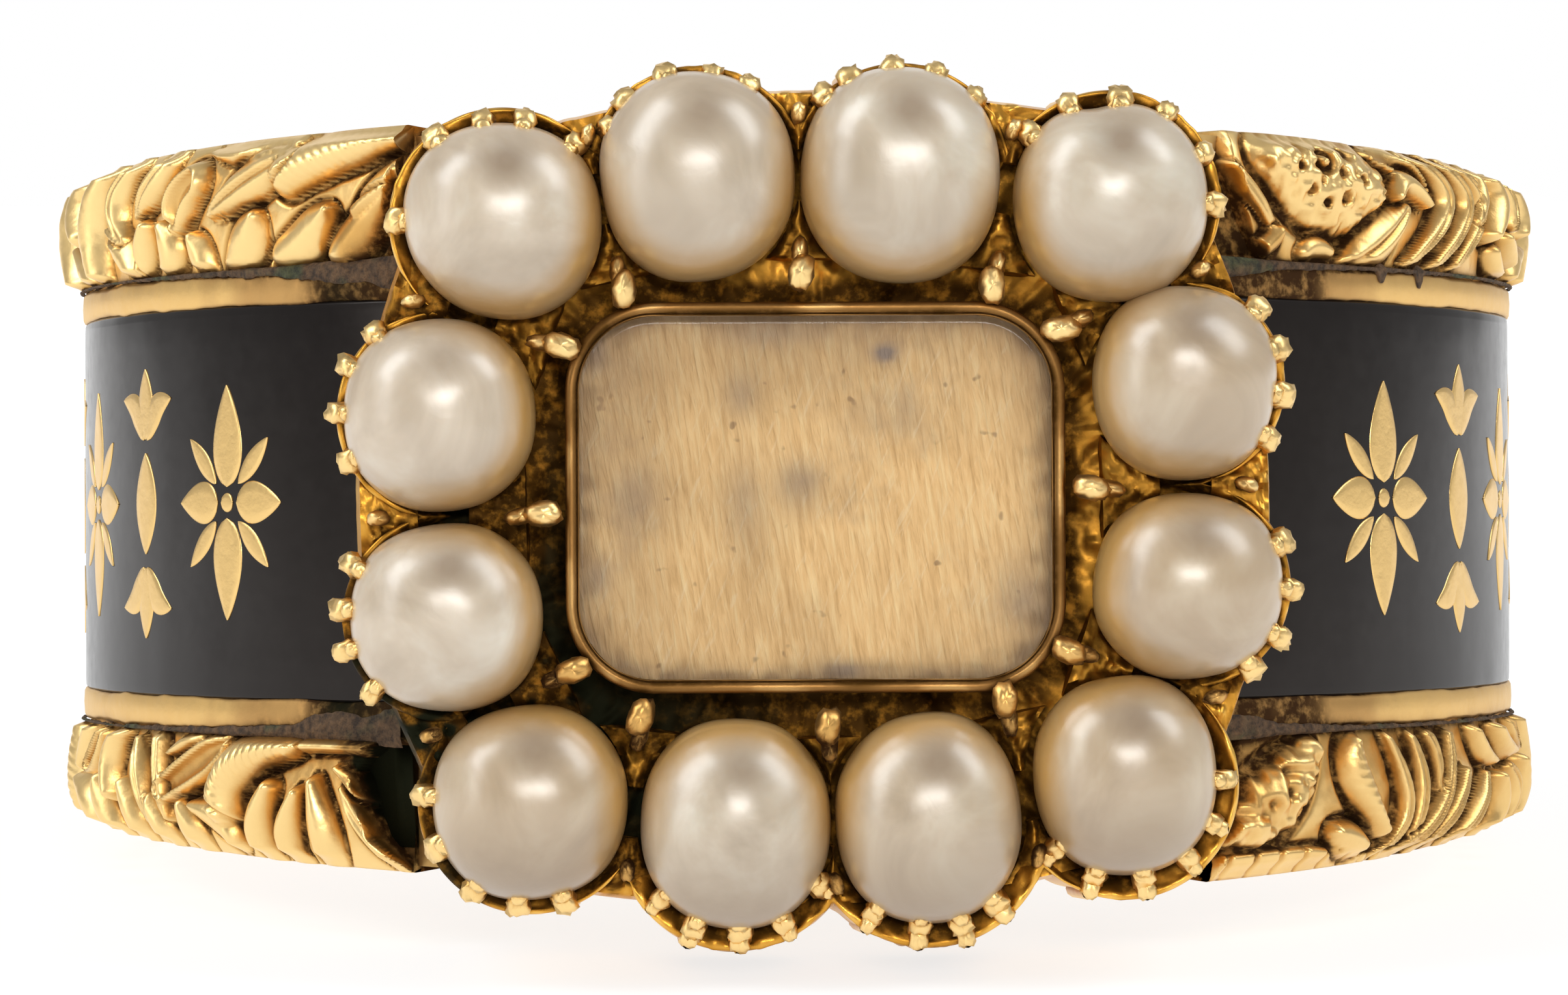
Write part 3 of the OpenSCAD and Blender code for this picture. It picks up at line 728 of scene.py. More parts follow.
def front_columns():
    """Degrees round a border, close together where the chasing faces the front."""
    side, back = 560, 420
    left = np.linspace(BORDER_STOP, SIDE_END, side, endpoint=False)
    behind = np.linspace(SIDE_END, 360 - SIDE_END, back, endpoint=False)
    return np.concatenate([left, behind, np.linspace(360 - SIDE_END, 360 - BORDER_STOP, side + 1)])


def placed(strokes, start, scale):
    """The strokes counted from another place round the border, and stretched or turned round."""
    return [
        (start + a * scale, va, start + b * scale, vb, start + c * scale, vc, *rest)
        for a, va, b, vb, c, vc, *rest in strokes
    ]


def smoothed(field, reach):
    """The field averaged over a square of neighbours, twice."""
    kernel = np.ones(2 * reach + 1) / (2 * reach + 1)
    for _ in range(2):
        padded = np.pad(field, reach, mode="edge")
        field = np.apply_along_axis(np.convolve, 0, padded, kernel, mode="valid")
        field = np.apply_along_axis(np.convolve, 1, field, kernel, mode="valid")
    return field


def build_border(name, upper, arms):
    """One chased border, with its rolled outer edge and its rim towards the finger."""
    rows = 46
    degrees = front_columns()
    columns = len(degrees)
    width = border_width(degrees, upper)
    share = np.linspace(0, 1, rows)[:, None]
    v = share * width
    height = np.zeros((rows, columns))
    left, right = arms
    runs = [left, placed(right, 360, -1)]
    for k in range(BACK_REPEATS):
        runs.append(placed(BACK_REPEAT, BACK_START + k * BACK_STEP, BACK_STEP / BACK_PITCH))
    for strokes in runs:
        chase(height, degrees, v, width, strokes)
    arc = degrees * ARC
    wear = 0.006 * noise(arc / 0.2, v / 0.2 + 40, 11)
    wear += 0.003 * noise(arc / 0.08, v / 0.08 + 90, 12)
    height += wear
    near = np.minimum(degrees, 360 - degrees)
    # Hollows of the chasing, which darken the gold: painted shade, with grime in them too
    cavity = unit((smoothed(height, 5) - height) / 0.09)
    ground = FACE_R - 0.12 + 0.15 * np.sin(share * math.pi * 0.72 + 0.25) - 0.2 * share**7
    on_left = degrees < 180
    sink = np.where(on_left, 0.03 if upper > 0 else 0.1, 0.05)
    ground = ground - sink * unit((near - 62) / 16) * unit((118 - near) / 16)
    radius = ground + height * np.clip(share * 12, 0.25, 1) * np.clip((1 - share) * 9, 0.35, 1)
    level = "upper" if upper > 0 else "lower"
    steps = np.linspace(0, 1, 5)
    end_left = np.interp(share[:, 0], steps, END_CURVES[level + "_left"])[:, None]
    end_right = 360 - np.interp(share[:, 0], steps, END_CURVES[level + "_right"])[:, None]
    cut = unit((end_left - degrees) / 0.6) + unit((degrees - end_right) / 0.6)
    radius = radius - END_DEPTH * cut
    ragged = 1.5 * noise(arc / 0.25, v / 0.25, 17)
    cut = cut * np.where(on_left & (upper < 0), 1, 1 - 0.85 * share)
    dirt_and_shade = unit((SOIL_END + ragged - near) / 3) * unit(1.1 - share * 1.6) * 0.7 + cut
    # The painted shade in the hollows is weaker on the front of the left side, which is painted lighter
    cavity = cavity * np.where(on_left & (near < 90), 0.3 if upper > 0 else 0.45, 0.62)
    # The right side is darker all over, its lower border most
    right_side_darkening = np.where(on_left, 0, 0.12 if upper > 0 else 0.2)
    dirt_and_shade = unit(dirt_and_shade + 0.35 * unit(1 - share / 0.07) + cavity + right_side_darkening)
    z = FOOT + v
    edge_z = FOOT + width
    inner = [(FACE_R - 0.3, edge_z - 0.3), (FACE_R - 0.2, FOOT + 0.12), (radius[0] - 0.04, FOOT + 0.015)]
    outer = [
        (radius[-1] - 0.06, edge_z + 0.01),
        (radius[-1] - 0.2, edge_z + 0.005),
        (BORE_R + 0.16, edge_z - 0.02),
        (BORE_R + 0.3, edge_z - 0.2),
    ]

    def spread(pairs, k):
        return [np.broadcast_to(pair[k], degrees.shape) for pair in pairs]

    all_r = np.vstack(spread(inner, 0) + [radius] + spread(outer, 0))
    all_z = np.vstack(spread(inner, 1) + [z] + spread(outer, 1))
    points = on_ring(degrees, all_r, upper * all_z)
    faces = grid_faces(len(all_r), columns, close_rows=True, flip=upper < 0).tolist()
    first = list(range(0, len(all_r) * columns, columns))
    last = [i + columns - 1 for i in first]
    if upper > 0:
        first.reverse()
    else:
        last.reverse()
    piece = add_piece(name, points, faces + [first, last], chased_gold)
    hidden, unshaded_and_clean = np.ones((len(inner), columns)), np.zeros((len(outer), columns))
    set_values(piece, "dirt_and_shade", np.vstack([hidden, dirt_and_shade, unshaded_and_clean]))


def set_values(piece, name, values):
    attribute = piece.data.attributes.new(name, "FLOAT", "POINT")
    attribute.data.foreach_set("value", np.asarray(values, np.float32).ravel())


# Packed dirt beside each border, by side and level: its widths at some degrees, and notches (degrees, depth)
DIRT_AT = [30, 36, 42, 50, 65, 85]
DIRT = {
    (1, 1): ([0.3, 0.2, 0.1, 0.05, 0.025, 0.02], []),
    (1, -1): ([0.4, 0.3, 0.15, 0.07, 0.03, 0.02], []),
    (-1, 1): ([0.22, 0.1, 0.05, 0.04, 0.04, 0.02], [(47.6, 0.14), (52.8, 0.2)]),
    (-1, -1): ([0.26, 0.14, 0.07, 0.04, 0.03, 0.02], []),
}


def build_dirt():
    parts = []
    for (side, upper), (widths, notches) in DIRT.items():
        degrees = np.linspace(BORDER_STOP, 88, 560)
        wide = np.interp(degrees, DIRT_AT, widths)
        seed = 3 * side + upper
        wide = wide * (1 + 0.22 * noise(degrees / 2.4, 30 + 9 * seed, 51))
        wide = wide + 0.012 * noise(degrees / 0.4, 60 + 9 * seed, 52)
        for turn, depth in notches:
            wide = wide + depth * bell(degrees - turn, 0.45, 4)
        t = np.array([-0.3, 0.0, 0.35, 0.7, 0.93, 1.0])[:, None]
        z = FOOT + 0.03 - np.maximum(wide, 0.012) * t
        lift = np.array([0.0, 0.055, 0.05, 0.045, 0.035, 0.0])[:, None]
        lift = lift + 0.012 * noise(degrees / 0.4, z / 0.06 + 20, 53) * (lift > 0)
        points = on_ring(side * degrees, FACE_R + lift, upper * z)
        parts.append((points, grid_faces(len(t), len(degrees), flip=side * upper > 0)))
    add_parts("packed_dirt", parts, packed_dirt)


# Ornament


def ribbon(path, halves, lift=0.0):
    """A flat stroke of gold on the band: places are millimetres round the hoop and up."""
    path, halves = np.asarray(path, float), np.asarray(halves, float)
    way = np.gradient(path, axis=0)
    way /= np.maximum(np.hypot(way[:, 0], way[:, 1]), 1e-9)[:, None]
    normal = np.stack([-way[:, 1], way[:, 0]], -1)
    half = [(0, 0.01), (0.45, 0.009), (0.9, 0.006), (1, -0.004), (1, -0.05)]
    share, rise = both_sides(half).T[:, :, None]
    s = path[:, 0] + normal[:, 0] * (share * halves)
    z = path[:, 1] + normal[:, 1] * (share * halves)
    points = on_ring(s / ARC, FACE_R + lift + rise, z)
    return points, grid_faces(len(share), len(path), close_rows=True)


def petal(s, z, turn, near, far, half, point, bend=0.0):
    """A pointed petal that leaves (s, z) in a direction, from a near to a far distance."""
    t = np.linspace(0, 1, 25)
    reach = near + (far - near) * t
    side = bend * np.sin(t * math.pi)
    c, n = math.cos(math.radians(turn)), math.sin(math.radians(turn))
    path = np.stack([s + reach * c - side * n, z + reach * n + side * c], -1)
    halves = half * np.sin(t**point * math.pi) ** 0.8 + 0.004
    return ribbon(path, halves)


def disc(s, r):
    t = np.linspace(-1, 1, 17)
    path = np.stack([s + r * t * 0.999, np.zeros_like(t)], -1)
    return ribbon(path, r * np.sqrt(1 - t * t) + 0.004, 0.001)


MOTIF_FIRST = 48
MOTIF_COUNT = 12
MOTIF_PITCH = (360 - 2 * MOTIF_FIRST) / (MOTIF_COUNT - 1) * ARC


def cross_motif(s):
    """A cross of four petals about a boss, with small leaves between them."""
    parts = [disc(s, 0.12)]
    for turn, far, half in ((90, 1.5, 0.3), (270, 1.5, 0.3), (0, 1.06, 0.27), (180, 1.06, 0.27)):
        parts.append(petal(s, 0, turn, 0.2, far, half, 0.7))
    for turn in (45, 135, 225, 315):
        parts.append(petal(s, 0, turn, 0.34, 1.16, 0.13, 0.9))
    return parts


def spray_motif(s):
    """A spindle between two sprays of three leaves."""
    parts = [petal(s, 0, 90, -0.66, 0.66, 0.32, 1.0)]
    for up in (1, -1):
        parts.append(petal(s, up * 0.78, 90 * up, 0.06, 0.98, 0.24, 0.8))
        for side in (1, -1):
            turn = 90 * up - side * up * 52
            parts.append(petal(s, up * 0.78, turn, 0.08, 0.95, 0.2, 0.8, 0.16 * side * up))
    return parts


def build_ornament():
    """Reserved gold round the band: crosses, with a spray between each and the next."""
    parts = []
    for k in range(MOTIF_COUNT):
        at = MOTIF_FIRST * ARC + k * MOTIF_PITCH
        parts += cross_motif(at)
        if k < MOTIF_COUNT - 1:
            parts += spray_motif(at + MOTIF_PITCH / 2)
    add_parts("reserved_ornament", parts, inlay_gold)


# Head


def pearl_edge(pearl, angle):
    """Half width of a pearl's outline in a direction, with a little squareness."""
    c, s = np.abs(np.cos(angle)), np.abs(np.sin(angle))
    power = 2.2
    return ((c / pearl.half_w) ** power + (s / pearl.half_h) ** power) ** (-1 / power)


# How far the gallery's lip stands outside each pearl, and how much lower its round sits than the pearl
LIP = [0.18, 0.11, 0.09, 0.15, 0.09, 0.1, 0.22, 0.27, 0.23, 0.17, 0.1, 0.1]
LIP_DROP = [0, 0, 0, 0, 0, 0, 0.14, 0.1, 0.09, 0, 0, 0]


def cluster_outline(angle, grow):
    """The outermost reach of the twelve cups from the head's middle, in each direction."""
    best = np.zeros_like(angle)
    ux, uz = np.cos(angle), np.sin(angle)
    for pearl, lip, drop in zip(pearls, LIP, LIP_DROP):
        r = (pearl.half_w + pearl.half_h) / 2 + lip + grow
        along = pearl.x * ux + (pearl.z - drop) * uz
        off = pearl.x * uz - (pearl.z - drop) * ux
        inside = r * r - off * off
        reach = along + np.sqrt(np.clip(inside, 0, None))
        best = np.where(inside > 0, np.maximum(best, reach), best)
    return best


def locket_outline(angle, half_w, half_h, r):
    """The rounded oblong's reach from its middle in each direction."""
    c, s = np.abs(np.cos(angle)), np.abs(np.sin(angle))
    side = np.minimum(half_w / np.maximum(c, 1e-9), half_h / np.maximum(s, 1e-9))
    cx, cz = half_w - r, half_h - r
    along = cx * c + cz * s
    off = cx * s - cz * c
    corner = along + np.sqrt(np.clip(r * r - off * off, 0, None))
    x, z = side * c, side * s
    in_corner = (x > cx) & (z > cz)
    return np.where(in_corner, corner, side)


def build_setting():
    """The scalloped gallery: outer wall, lip, and the floor between the pearls and the locket."""
    columns = 1440
    angle = circle(columns)
    ux, uz = np.cos(angle), np.sin(angle)
    rows = []

    def add(reach, height):
        rows.append(on_head(reach * ux, reach * uz, height))

    def noise_round(cell, seed):
        return noise(7 + CLUSTER_R / cell * ux, 7 + CLUSTER_R / cell * uz, seed)

    lip = cluster_outline(angle, 0)
    foot_reach = cluster_outline(angle, WALL_SLOPE * 2.2)
    inner_foot = foot_reach * 0.8
    add(inner_foot, np.sqrt(np.clip(ROOT_R**2 - (inner_foot * ux) ** 2, 40, None)))
    foot_height = np.sqrt(np.clip(ROOT_R**2 - (foot_reach * ux) ** 2, 40, None))
    for share in np.linspace(0, 1, 14):
        height = foot_height + (GIRDLE - 0.02 - foot_height) * share
        flutes = 0.035 * noise_round(0.16, 22) * min(1, 4 * (1 - share))
        add(cluster_outline(angle, WALL_SLOPE * (GIRDLE - height).mean()) + flutes, height)
    worn = 0.02 * noise_round(0.13, 24)
    add(lip - 0.01 + worn, GIRDLE + 0.02 + worn)
    add(lip - 0.04 + worn, GIRDLE + 0.035)
    add(lip - 0.08, GIRDLE + 0.03 + 2 * worn)
    add(lip - 0.13, GIRDLE + 2 * worn)
    add(lip - 0.2, GIRDLE - 0.04)
    add(lip - 0.29, GIRDLE - 0.1)
    wall = len(rows)
    locket = locket_outline(angle, GLASS_HALF_W + RIM_T * 0.8, GLASS_HALF_H + RIM_T * 0.8, LOCKET_R)
    for share in np.linspace(0.05, 1, 22):
        reach = (lip - 0.32) * (1 - share) + locket * share
        bumps = 0.09 * noise(reach * ux / 0.26, reach * uz / 0.26, 21)
        bumps = bumps + 0.04 * noise(reach * ux / 0.11, reach * uz / 0.11, 23)
        add(reach, GIRDLE - VALLEY * (0.75 + 0.35 * share**3) + bumps)
    points = np.stack(rows)
    faces = grid_faces(len(rows), columns, close_columns=True, flip=True)
    piece = add_piece("setting", points, faces, setting_gold)
    x, z = points[..., 0], points[..., 2]
    corner = unit(-(x + z) / 5.5)
    patches = noise(x / 0.3, z / 0.3 + 80, 62)
    dirt_and_shade = 0.05 + 0.85 * corner - 0.13 * np.clip(x / 4, -0.3, 1) + 0.25 * patches
    # Painted shade in the valley next to the locket's rim, darkest against it
    dirt_and_shade[-5:] += np.array([0.1, 0.25, 0.45, 0.6, 0.7])[:, None]
    streaks = noise_round(0.2, 63)
    pocket = unit((-x[:wall] - 3.5) / 0.5) * unit(-z[:wall] / 1.5)
    dirt_and_shade[:wall] = 0.16 + 0.1 * np.clip(z[:wall] / 4, -1, 1) + 0.7 * pocket + 0.3 * streaks
    set_values(piece, "dirt_and_shade", unit(dirt_and_shade))


def blob(centre, axes, rng, rough=0.12, power=2.6):
    """A small worked lump: a rounded block with uneven faces, on three given half axes."""
    rings, sides = 9, 14
    lat = np.linspace(-math.pi / 2, math.pi / 2, rings)[:, None]
    lon = circle(sides)
    d = np.stack(np.broadcast_arrays(np.cos(lat) * np.cos(lon), np.cos(lat) * np.sin(lon), np.sin(lat)), -1)
    size = (np.abs(d) ** power).sum(-1) ** (-1 / power)
    size = size * (1 + rough * rng.uniform(-1, 1, size.shape))
    size[0, :] = size[0, 0]
    size[-1, :] = size[-1, 0]
    local = d * size[..., None]
    points = np.asarray(centre) + local @ np.asarray(axes)
    return points, grid_faces(rings, sides, close_columns=True)


FRONT = np.array([0, -1.0, 0])

# The claws round each pearl's outer side, as directions in degrees from the pearl's own middle
CLAWS = [
    (180, 129, 101, 77, 46),
    (151, 133, 107, 81, 60),
    (135, 118, 94, 71, 46),
    (140, 113, 84, 57, 27, -2),
    (45, 20, -7, -34),
    (25, -2, -30, -53),
    (-4, -30, -54, -80, -107, -133),
    (-120, -95, -73, -52),
    (-135, -112, -88, -64, -36),
    (-71, -97, -123, -154, -184),
    (-135, -162, -185, -210),
    (-153, -181, -208, -232),
]

# How far each pearl's claws stand outside its edge, in millimetres
CLAW_OUT = [0.03, -0.05, -0.04, 0.02, 0.04, 0.05, 0.03, 0.04, 0.03, 0.04, 0.05, 0.03]


def build_claws():
    """Ribs that climb the gallery's wall, each ending in a bead pushed over its pearl."""
    rng = np.random.default_rng(5)
    beads, ribs = [], []
    for pearl, directions, stand_off, lip, drop in zip(pearls, CLAWS, CLAW_OUT, LIP, LIP_DROP):
        for degrees in directions:
            a = math.radians(degrees)
            ux, uz = math.cos(a), math.sin(a)
            at = pearl_edge(pearl, a) + stand_off + rng.uniform(-0.03, 0.03)
            x, z = pearl.x + at * ux, pearl.z + at * uz
            out = np.array([ux, 0, uz])
            side = np.cross(out, FRONT)
            lean_in = FRONT * 0.9 - out * 0.45
            wide = rng.uniform(0.12, 0.155)
            aside = 0.02 * max(0, abs(ux) - 0.5)
            x, z = x + aside * ux, z + aside * uz
            length = rng.uniform(0.13, 0.16) + aside
            axes = [out * length, side * wide, lean_in * rng.uniform(0.11, 0.14)]
            beads.append(blob((x, -GIRDLE - 0.09, z), axes, rng, 0.2, 3.2))
            tip = (x - ux * 0.1, -GIRDLE - rng.uniform(0.18, 0.25), z - uz * 0.1)
            axes = [out * rng.uniform(0.1, 0.13), side * wide * 0.75, FRONT * rng.uniform(0.07, 0.1)]
            beads.append(blob(tip, axes, rng, 0.16))
            reach = max(lip - drop * uz - 0.04, stand_off + 0.04)
            shift = (reach - stand_off) / 2
            bar = (x + ux * shift, -GIRDLE - 0.03, z + uz * shift)
            axes = [out * (shift + 0.02), side * wide * 0.8, FRONT * rng.uniform(0.06, 0.09)]
            beads.append(blob(bar, axes, rng, 0.14, 3.2))
            foot = 1.9
            t = np.linspace(0, 1, 7)
            flare = 2 * shift - 0.05 + WALL_SLOPE * foot * t
            path = np.stack([x + ux * flare, -GIRDLE - 0.03 + foot * t, z + uz * flare], -1)
            sides = 10
            turn = circle(sides)
            thick = 0.085 + 0.03 * t
            ring = path[:, None, :] + thick[:, None, None] * (
                np.cos(turn)[None, :, None] * out + np.sin(turn)[None, :, None] * side
            )
            ribs.append((ring, grid_faces(len(t), sides, close_columns=True)))
    add_parts("claw_beads", beads, chased_gold)
    add_parts("claw_ribs", ribs, setting_gold)


# Dirt in the corners after each pearl, outside and towards the locket
OUTER_DIRT = [0.05, 0.1, 0.15, 0.35, 0.1, 0.25, 0.1, 0.1, 0.35, 0.85, 0.2, 0.45]
INNER_DIRT = [0.1, 0.1, 0.15, 0.1, 0.1, 0.0, 0.15, 0.15, 0.3, 0.7, 0.6, 0.15]


def wedge(middle, way, gap, reach, near, far, top, fall, seed):
    """Worked metal in the corner between two round cups, from their meeting outwards."""
    rows, columns = 18, 15
    t = np.linspace(0, 1, rows)[:, None]
    s = np.linspace(-1, 1, columns)
    d = near + (far - near) * t
    half = gap / 2 - np.sqrt(np.clip(reach**2 - d**2, 0, None)) + 0.1
    half = np.minimum(half, 0.62)
    side = np.array([way[1], -way[0]])
    x = middle[0] + way[0] * d + side[0] * half * s
    z = middle[1] + way[1] * d + side[1] * half * s
    ridge = 0.07 * np.abs(noise(x / 0.17 + seed, z / 0.17 + 60, 41)) + 0.05 * noise(
        x / 0.08, z / 0.08 + seed, 42
    )
    height = top - fall * t**1.5 + ridge - 0.12 * s**2
    surface = on_head(x, z, height)
    end = on_head(x[-1] + way[0] * 0.1, z[-1] + way[1] * 0.1, height[-1] - 0.8)
    start = on_head(x[0], z[0], height[0] - 0.5)
    return np.vstack([start[None], surface, end[None]]), grid_faces(rows + 2, columns)


def build_grains():
    """Oblong grains by the locket, and the worked gold between each pearl and the next."""
    rng = np.random.default_rng(8)
    grains, outer, inner = [], [], []
    for i, pearl in enumerate(pearls):
        after = pearls[(i + 1) % PEARL_COUNT]
        along = np.array([after.x - pearl.x, after.z - pearl.z])
        gap = np.hypot(*along)
        along = along / gap
        inward = np.array([along[1], -along[0]])
        middle = np.array([after.x + pearl.x, after.z + pearl.z]) / 2
        reach = (pearl.socket + after.socket) / 2 + 0.03
        outer.append(wedge(middle, -inward, gap, reach, 0.3, 0.98, GIRDLE + 0.04, 0.1, i))
        inner.append(wedge(middle, inward, gap, reach, 0.3, 0.96, GIRDLE - 0.06, 0.2, i + 20))
        inx = np.array([inward[0], 0, inward[1]])
        side = np.cross(inx, FRONT)
        for distance, height, half_in, half_side, half_up in (
            (1.14, 0.28, 0.22, 0.15, 0.18),
            (0.9, 0.06, 0.2, 0.1, 0.2),
            (-0.72, 0.06, 0.13, 0.09, 0.12),
        ):
            jog, twist = rng.uniform(-0.05, 0.05, 2)
            p = middle + inward * (distance + jog) + along * twist * 0.6
            axes = [inx * half_in + side * twist, side * half_side, FRONT * half_up]
            grains.append(blob((p[0], -GIRDLE - height, p[1]), axes, rng, 0.12))
    piece, points = add_parts("grains", grains, chased_gold)
    # Darker towards the bottom of the head
    set_values(piece, "dirt_and_shade", np.clip(0.1 - points[:, 2] / 7, 0, 0.5))
    for name, parts, dirt in (("outer_notches", outer, OUTER_DIRT), ("inner_notches", inner, INNER_DIRT)):
        piece, points = add_parts(name, parts, setting_gold, 50)
        each = len(points) // PEARL_COUNT
        base = np.repeat(dirt, each)
        patches = 0.25 * noise(points[:, 0] / 0.16, points[:, 2] / 0.16 + 70, 61)
        set_values(piece, "dirt_and_shade", unit(base + patches))


# Chips in the pearls' outlines: pearl, direction in degrees, share of the radius, spread in degrees
CHIPS = [(4, 100, 0.07, 14), (1, 220, 0.05, 25), (7, 100, 0.03, 20), (9, 80, 0.02, 18)]

# How pale each pearl's nacre is, from golden cream at 0 to nearly white at 1
PEARL_TONES = [0.8, 0.65, 0.5, 0.5, 0.2, 0.1, 0.15, 0.32, 0.55, 0.15, 0.85, 1.0]


def build_pearls():
    """Half pearls, a little uneven, stained towards the side that faces the locket."""
    rings, sides = 40, 96
    rng = np.random.default_rng(14)
    for i, pearl in enumerate(pearls):
        angle = circle(sides)
        ux, uz = np.cos(angle), np.sin(angle)
        edge = pearl_edge(pearl, angle)
        wobble = 1 + 0.022 * noise(2.5 + 1.6 * ux, 7 * i + 2.5 + 1.6 * uz, 31)
        for number, turn, depth, spread in CHIPS:
            if number == i + 1:
                off = np.degrees(np.angle(np.exp(1j * (angle - math.radians(turn)))))
                wobble -= depth * bell(off, spread)
        edge = edge * wobble
        t = np.linspace(0, 1, rings)[:, None] * (math.pi / 2)
        share, lift = np.cos(t) ** 0.9, np.sin(t)
        height = GIRDLE + (pearl.top - GIRDLE) * lift
        x, z = share * edge * ux, share * edge * uz
        dents = 0.02 * noise(x / 0.6 + 5 * i, z / 0.6 + 50, 33) * (share < 0.95)
        top = on_head(pearl.x + x, pearl.z + z, height + dents)
        low = on_head(pearl.x + 0.96 * edge * ux, pearl.z + 0.96 * edge * uz, GIRDLE - PEARL_BASE)
        points = np.vstack([low[None], top])
        faces = grid_faces(rings + 1, sides, close_columns=True).tolist()
        faces.append(row_face(0, sides)[::-1])
        piece = add_piece(pearl.name + "_nacre", points, faces, nacre)
        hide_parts(pearl.name)
        inward = -np.array([pearl.x, pearl.z + 0.8]) / np.hypot(pearl.x, pearl.z + 0.8)
        lean_to = (x * inward[0] + z * inward[1]) / max(pearl.half_w, pearl.half_h)
        rim = unit((share - 0.64) / 0.36)
        stain = unit(0.35 * rim**2 + 1.1 * rim * np.clip(lean_to + 0.4, 0, 1.4))
        stain = np.concatenate([np.full(sides, stain.max()), stain.ravel()])
        set_values(piece, "stain", stain)
        # A painted reflection: a dark taupe patch high on each pearl, as if the gap between the lamps showed
        # in it
        patch = np.hypot((x / pearl.half_w - 0.08) / 0.34, (z / pearl.half_h - 0.56) / 0.3)
        patch = unit(1.25 - patch) * rng.uniform(0.55, 0.9)
        # Painted shade on the lower side, strongest on the bottom pearls, which face the ring's shadow on
        # the floor
        below = 0.42 if pearl.z > -2 else 1.0
        patch = np.maximum(patch, below * unit(-z / pearl.half_h - 0.02) ** 1.2)
        set_values(piece, "tone", np.full(sides * (rings + 1), PEARL_TONES[i]))
        set_values(piece, "crown", np.concatenate([np.zeros(sides), patch.ravel()]))


def add_oblong(name, sections, material, sharp, closed_below=False, closed_above=False):
    """A piece with the locket's outline, from rows of half width, half height, corner and height."""
    columns = 480
    angle = circle(columns)
    rows = []
    for half_w, half_h, r, height in sections:
        reach = locket_outline(angle, half_w, half_h, r)
        rows.append(on_head(reach * np.cos(angle), reach * np.sin(angle), height))
    faces = grid_faces(len(rows), columns, close_columns=True, flip=True).tolist()
    if closed_below:
        faces.append(row_face(0, columns))
    if closed_above:
        faces.append(row_face(len(rows) - 1, columns)[::-1])
    points = np.stack(rows)
    return add_piece(name, points, faces, material, sharp), points


# Grey blots on the panel: across, up, half width and half height as shares of its own halves, and depth
BLOTS = [
    (-0.31, 0.56, 0.07, 0.12, 0.45),
    (-0.07, 0.08, 0.09, 0.13, 0.55),
    (-0.3, -0.03, 0.08, 0.22, 0.4),
    (-0.75, 0.03, 0.1, 0.16, 0.4),
    (-0.92, -0.43, 0.06, 0.11, 0.6),
    (-0.19, 0.9, 0.25, 0.07, 0.4),
    (0.12, -0.95, 0.09, 0.05, 0.95),
    (0.87, -0.53, 0.12, 0.22, 0.4),
    (0.3, 0.79, 0.05, 0.045, 1.3),
    (-0.93, 0.8, 0.05, 0.1, 0.7),
]


def build_locket():
    w, h, r = GLASS_HALF_W, GLASS_HALF_H, LOCKET_R - RIM_T
    grow = RIM_T
    rim = [
        (w + grow, h + grow, r + grow, GIRDLE - VALLEY - 0.1),
        (w + grow, h + grow, r + grow, RIM_TOP - 0.06),
        (w + grow - 0.02, h + grow - 0.02, r + grow, RIM_TOP - 0.015),
        (w + grow - 0.05, h + grow - 0.05, r + grow, RIM_TOP),
        (w + 0.04, h + 0.04, r + 0.04, RIM_TOP),
        (w + 0.012, h + 0.012, r + 0.01, RIM_TOP - 0.02),
        (w + 0.004, h + 0.004, r, GLASS_FLOOR - 0.05),
    ]
    piece, points = add_oblong("locket_rim", rim, rim_gold, 40)
    patches = noise(points[..., 0] / 0.5, points[..., 2] / 0.5, 73)
    set_values(piece, "dirt_and_shade", unit(0.25 + 0.4 * patches))
    bevel = 0.12
    turns = np.linspace(0, math.pi / 2, 9)
    glass = [(w, h, r, GLASS_FLOOR)]
    for sink, rise in zip(bevel * (1 - np.cos(turns)), bevel * np.sin(turns)):
        glass.append((w - sink, h - sink, r - sink, GLASS_TOP - bevel + rise))
    glass += [((w - 0.2) * k, (h - 0.2) * k, (r - 0.15) * k, GLASS_TOP) for k in (1, 0.5, 0.02)]
    piece, points = add_oblong("crystal_cover", glass, crystal, 60, True, True)
    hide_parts("glass")
    top = GLASS_FLOOR - 0.02
    shares = np.linspace(1, 0.02, 30)
    panel = [(w, h, r, top - 0.3)] + [(w * k, h * k, r * k, top) for k in shares]
    piece, points = add_oblong("hair_and_gilt_panel", panel, hair_and_gilt, 30, closed_above=True)
    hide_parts("hair_panel")
    across, up = points[..., 0] / w, points[..., 2] / h
    clouds = noise(across * 4, up * 3 + 40, 71)
    ragged = 0.05 * noise(across * 16, up * 12 + 60, 72)
    out = np.concatenate([[1.0], shares])[:, None]
    edge = unit((out + ragged - 0.9) / 0.1) ** 1.3
    set_values(piece, "edge", 0.65 * edge)
    # Random clouds of tone, with painted shade towards the top, the sides and the rim
    tone_and_painted_light = 0.04 + 0.42 * unit(up) ** 1.6 + 0.25 * unit((across - 0.72) / 0.28) + 0.16 * clouds
    tone_and_painted_light = tone_and_painted_light + 0.22 * unit(-across - 0.1) + 0.16 * unit((out - 0.78) / 0.22) ** 2
    # A painted highlight low and right of the middle
    tone_and_painted_light = tone_and_painted_light - 0.16 * np.exp(-(((across - 0.35) / 0.4) ** 2) - ((up + 0.3) / 0.5) ** 2)
    set_values(piece, "tone_and_painted_light", np.clip(tone_and_painted_light + 0.04, 0, 0.85))
    blot = np.zeros_like(across)
    for x, z, half_x, half_z, depth in BLOTS:
        blot = np.maximum(blot, depth * np.exp(-(((across - x) / half_x) ** 2) - ((up - z) / half_z) ** 2))
    set_values(piece, "blot", blot)


# Stage

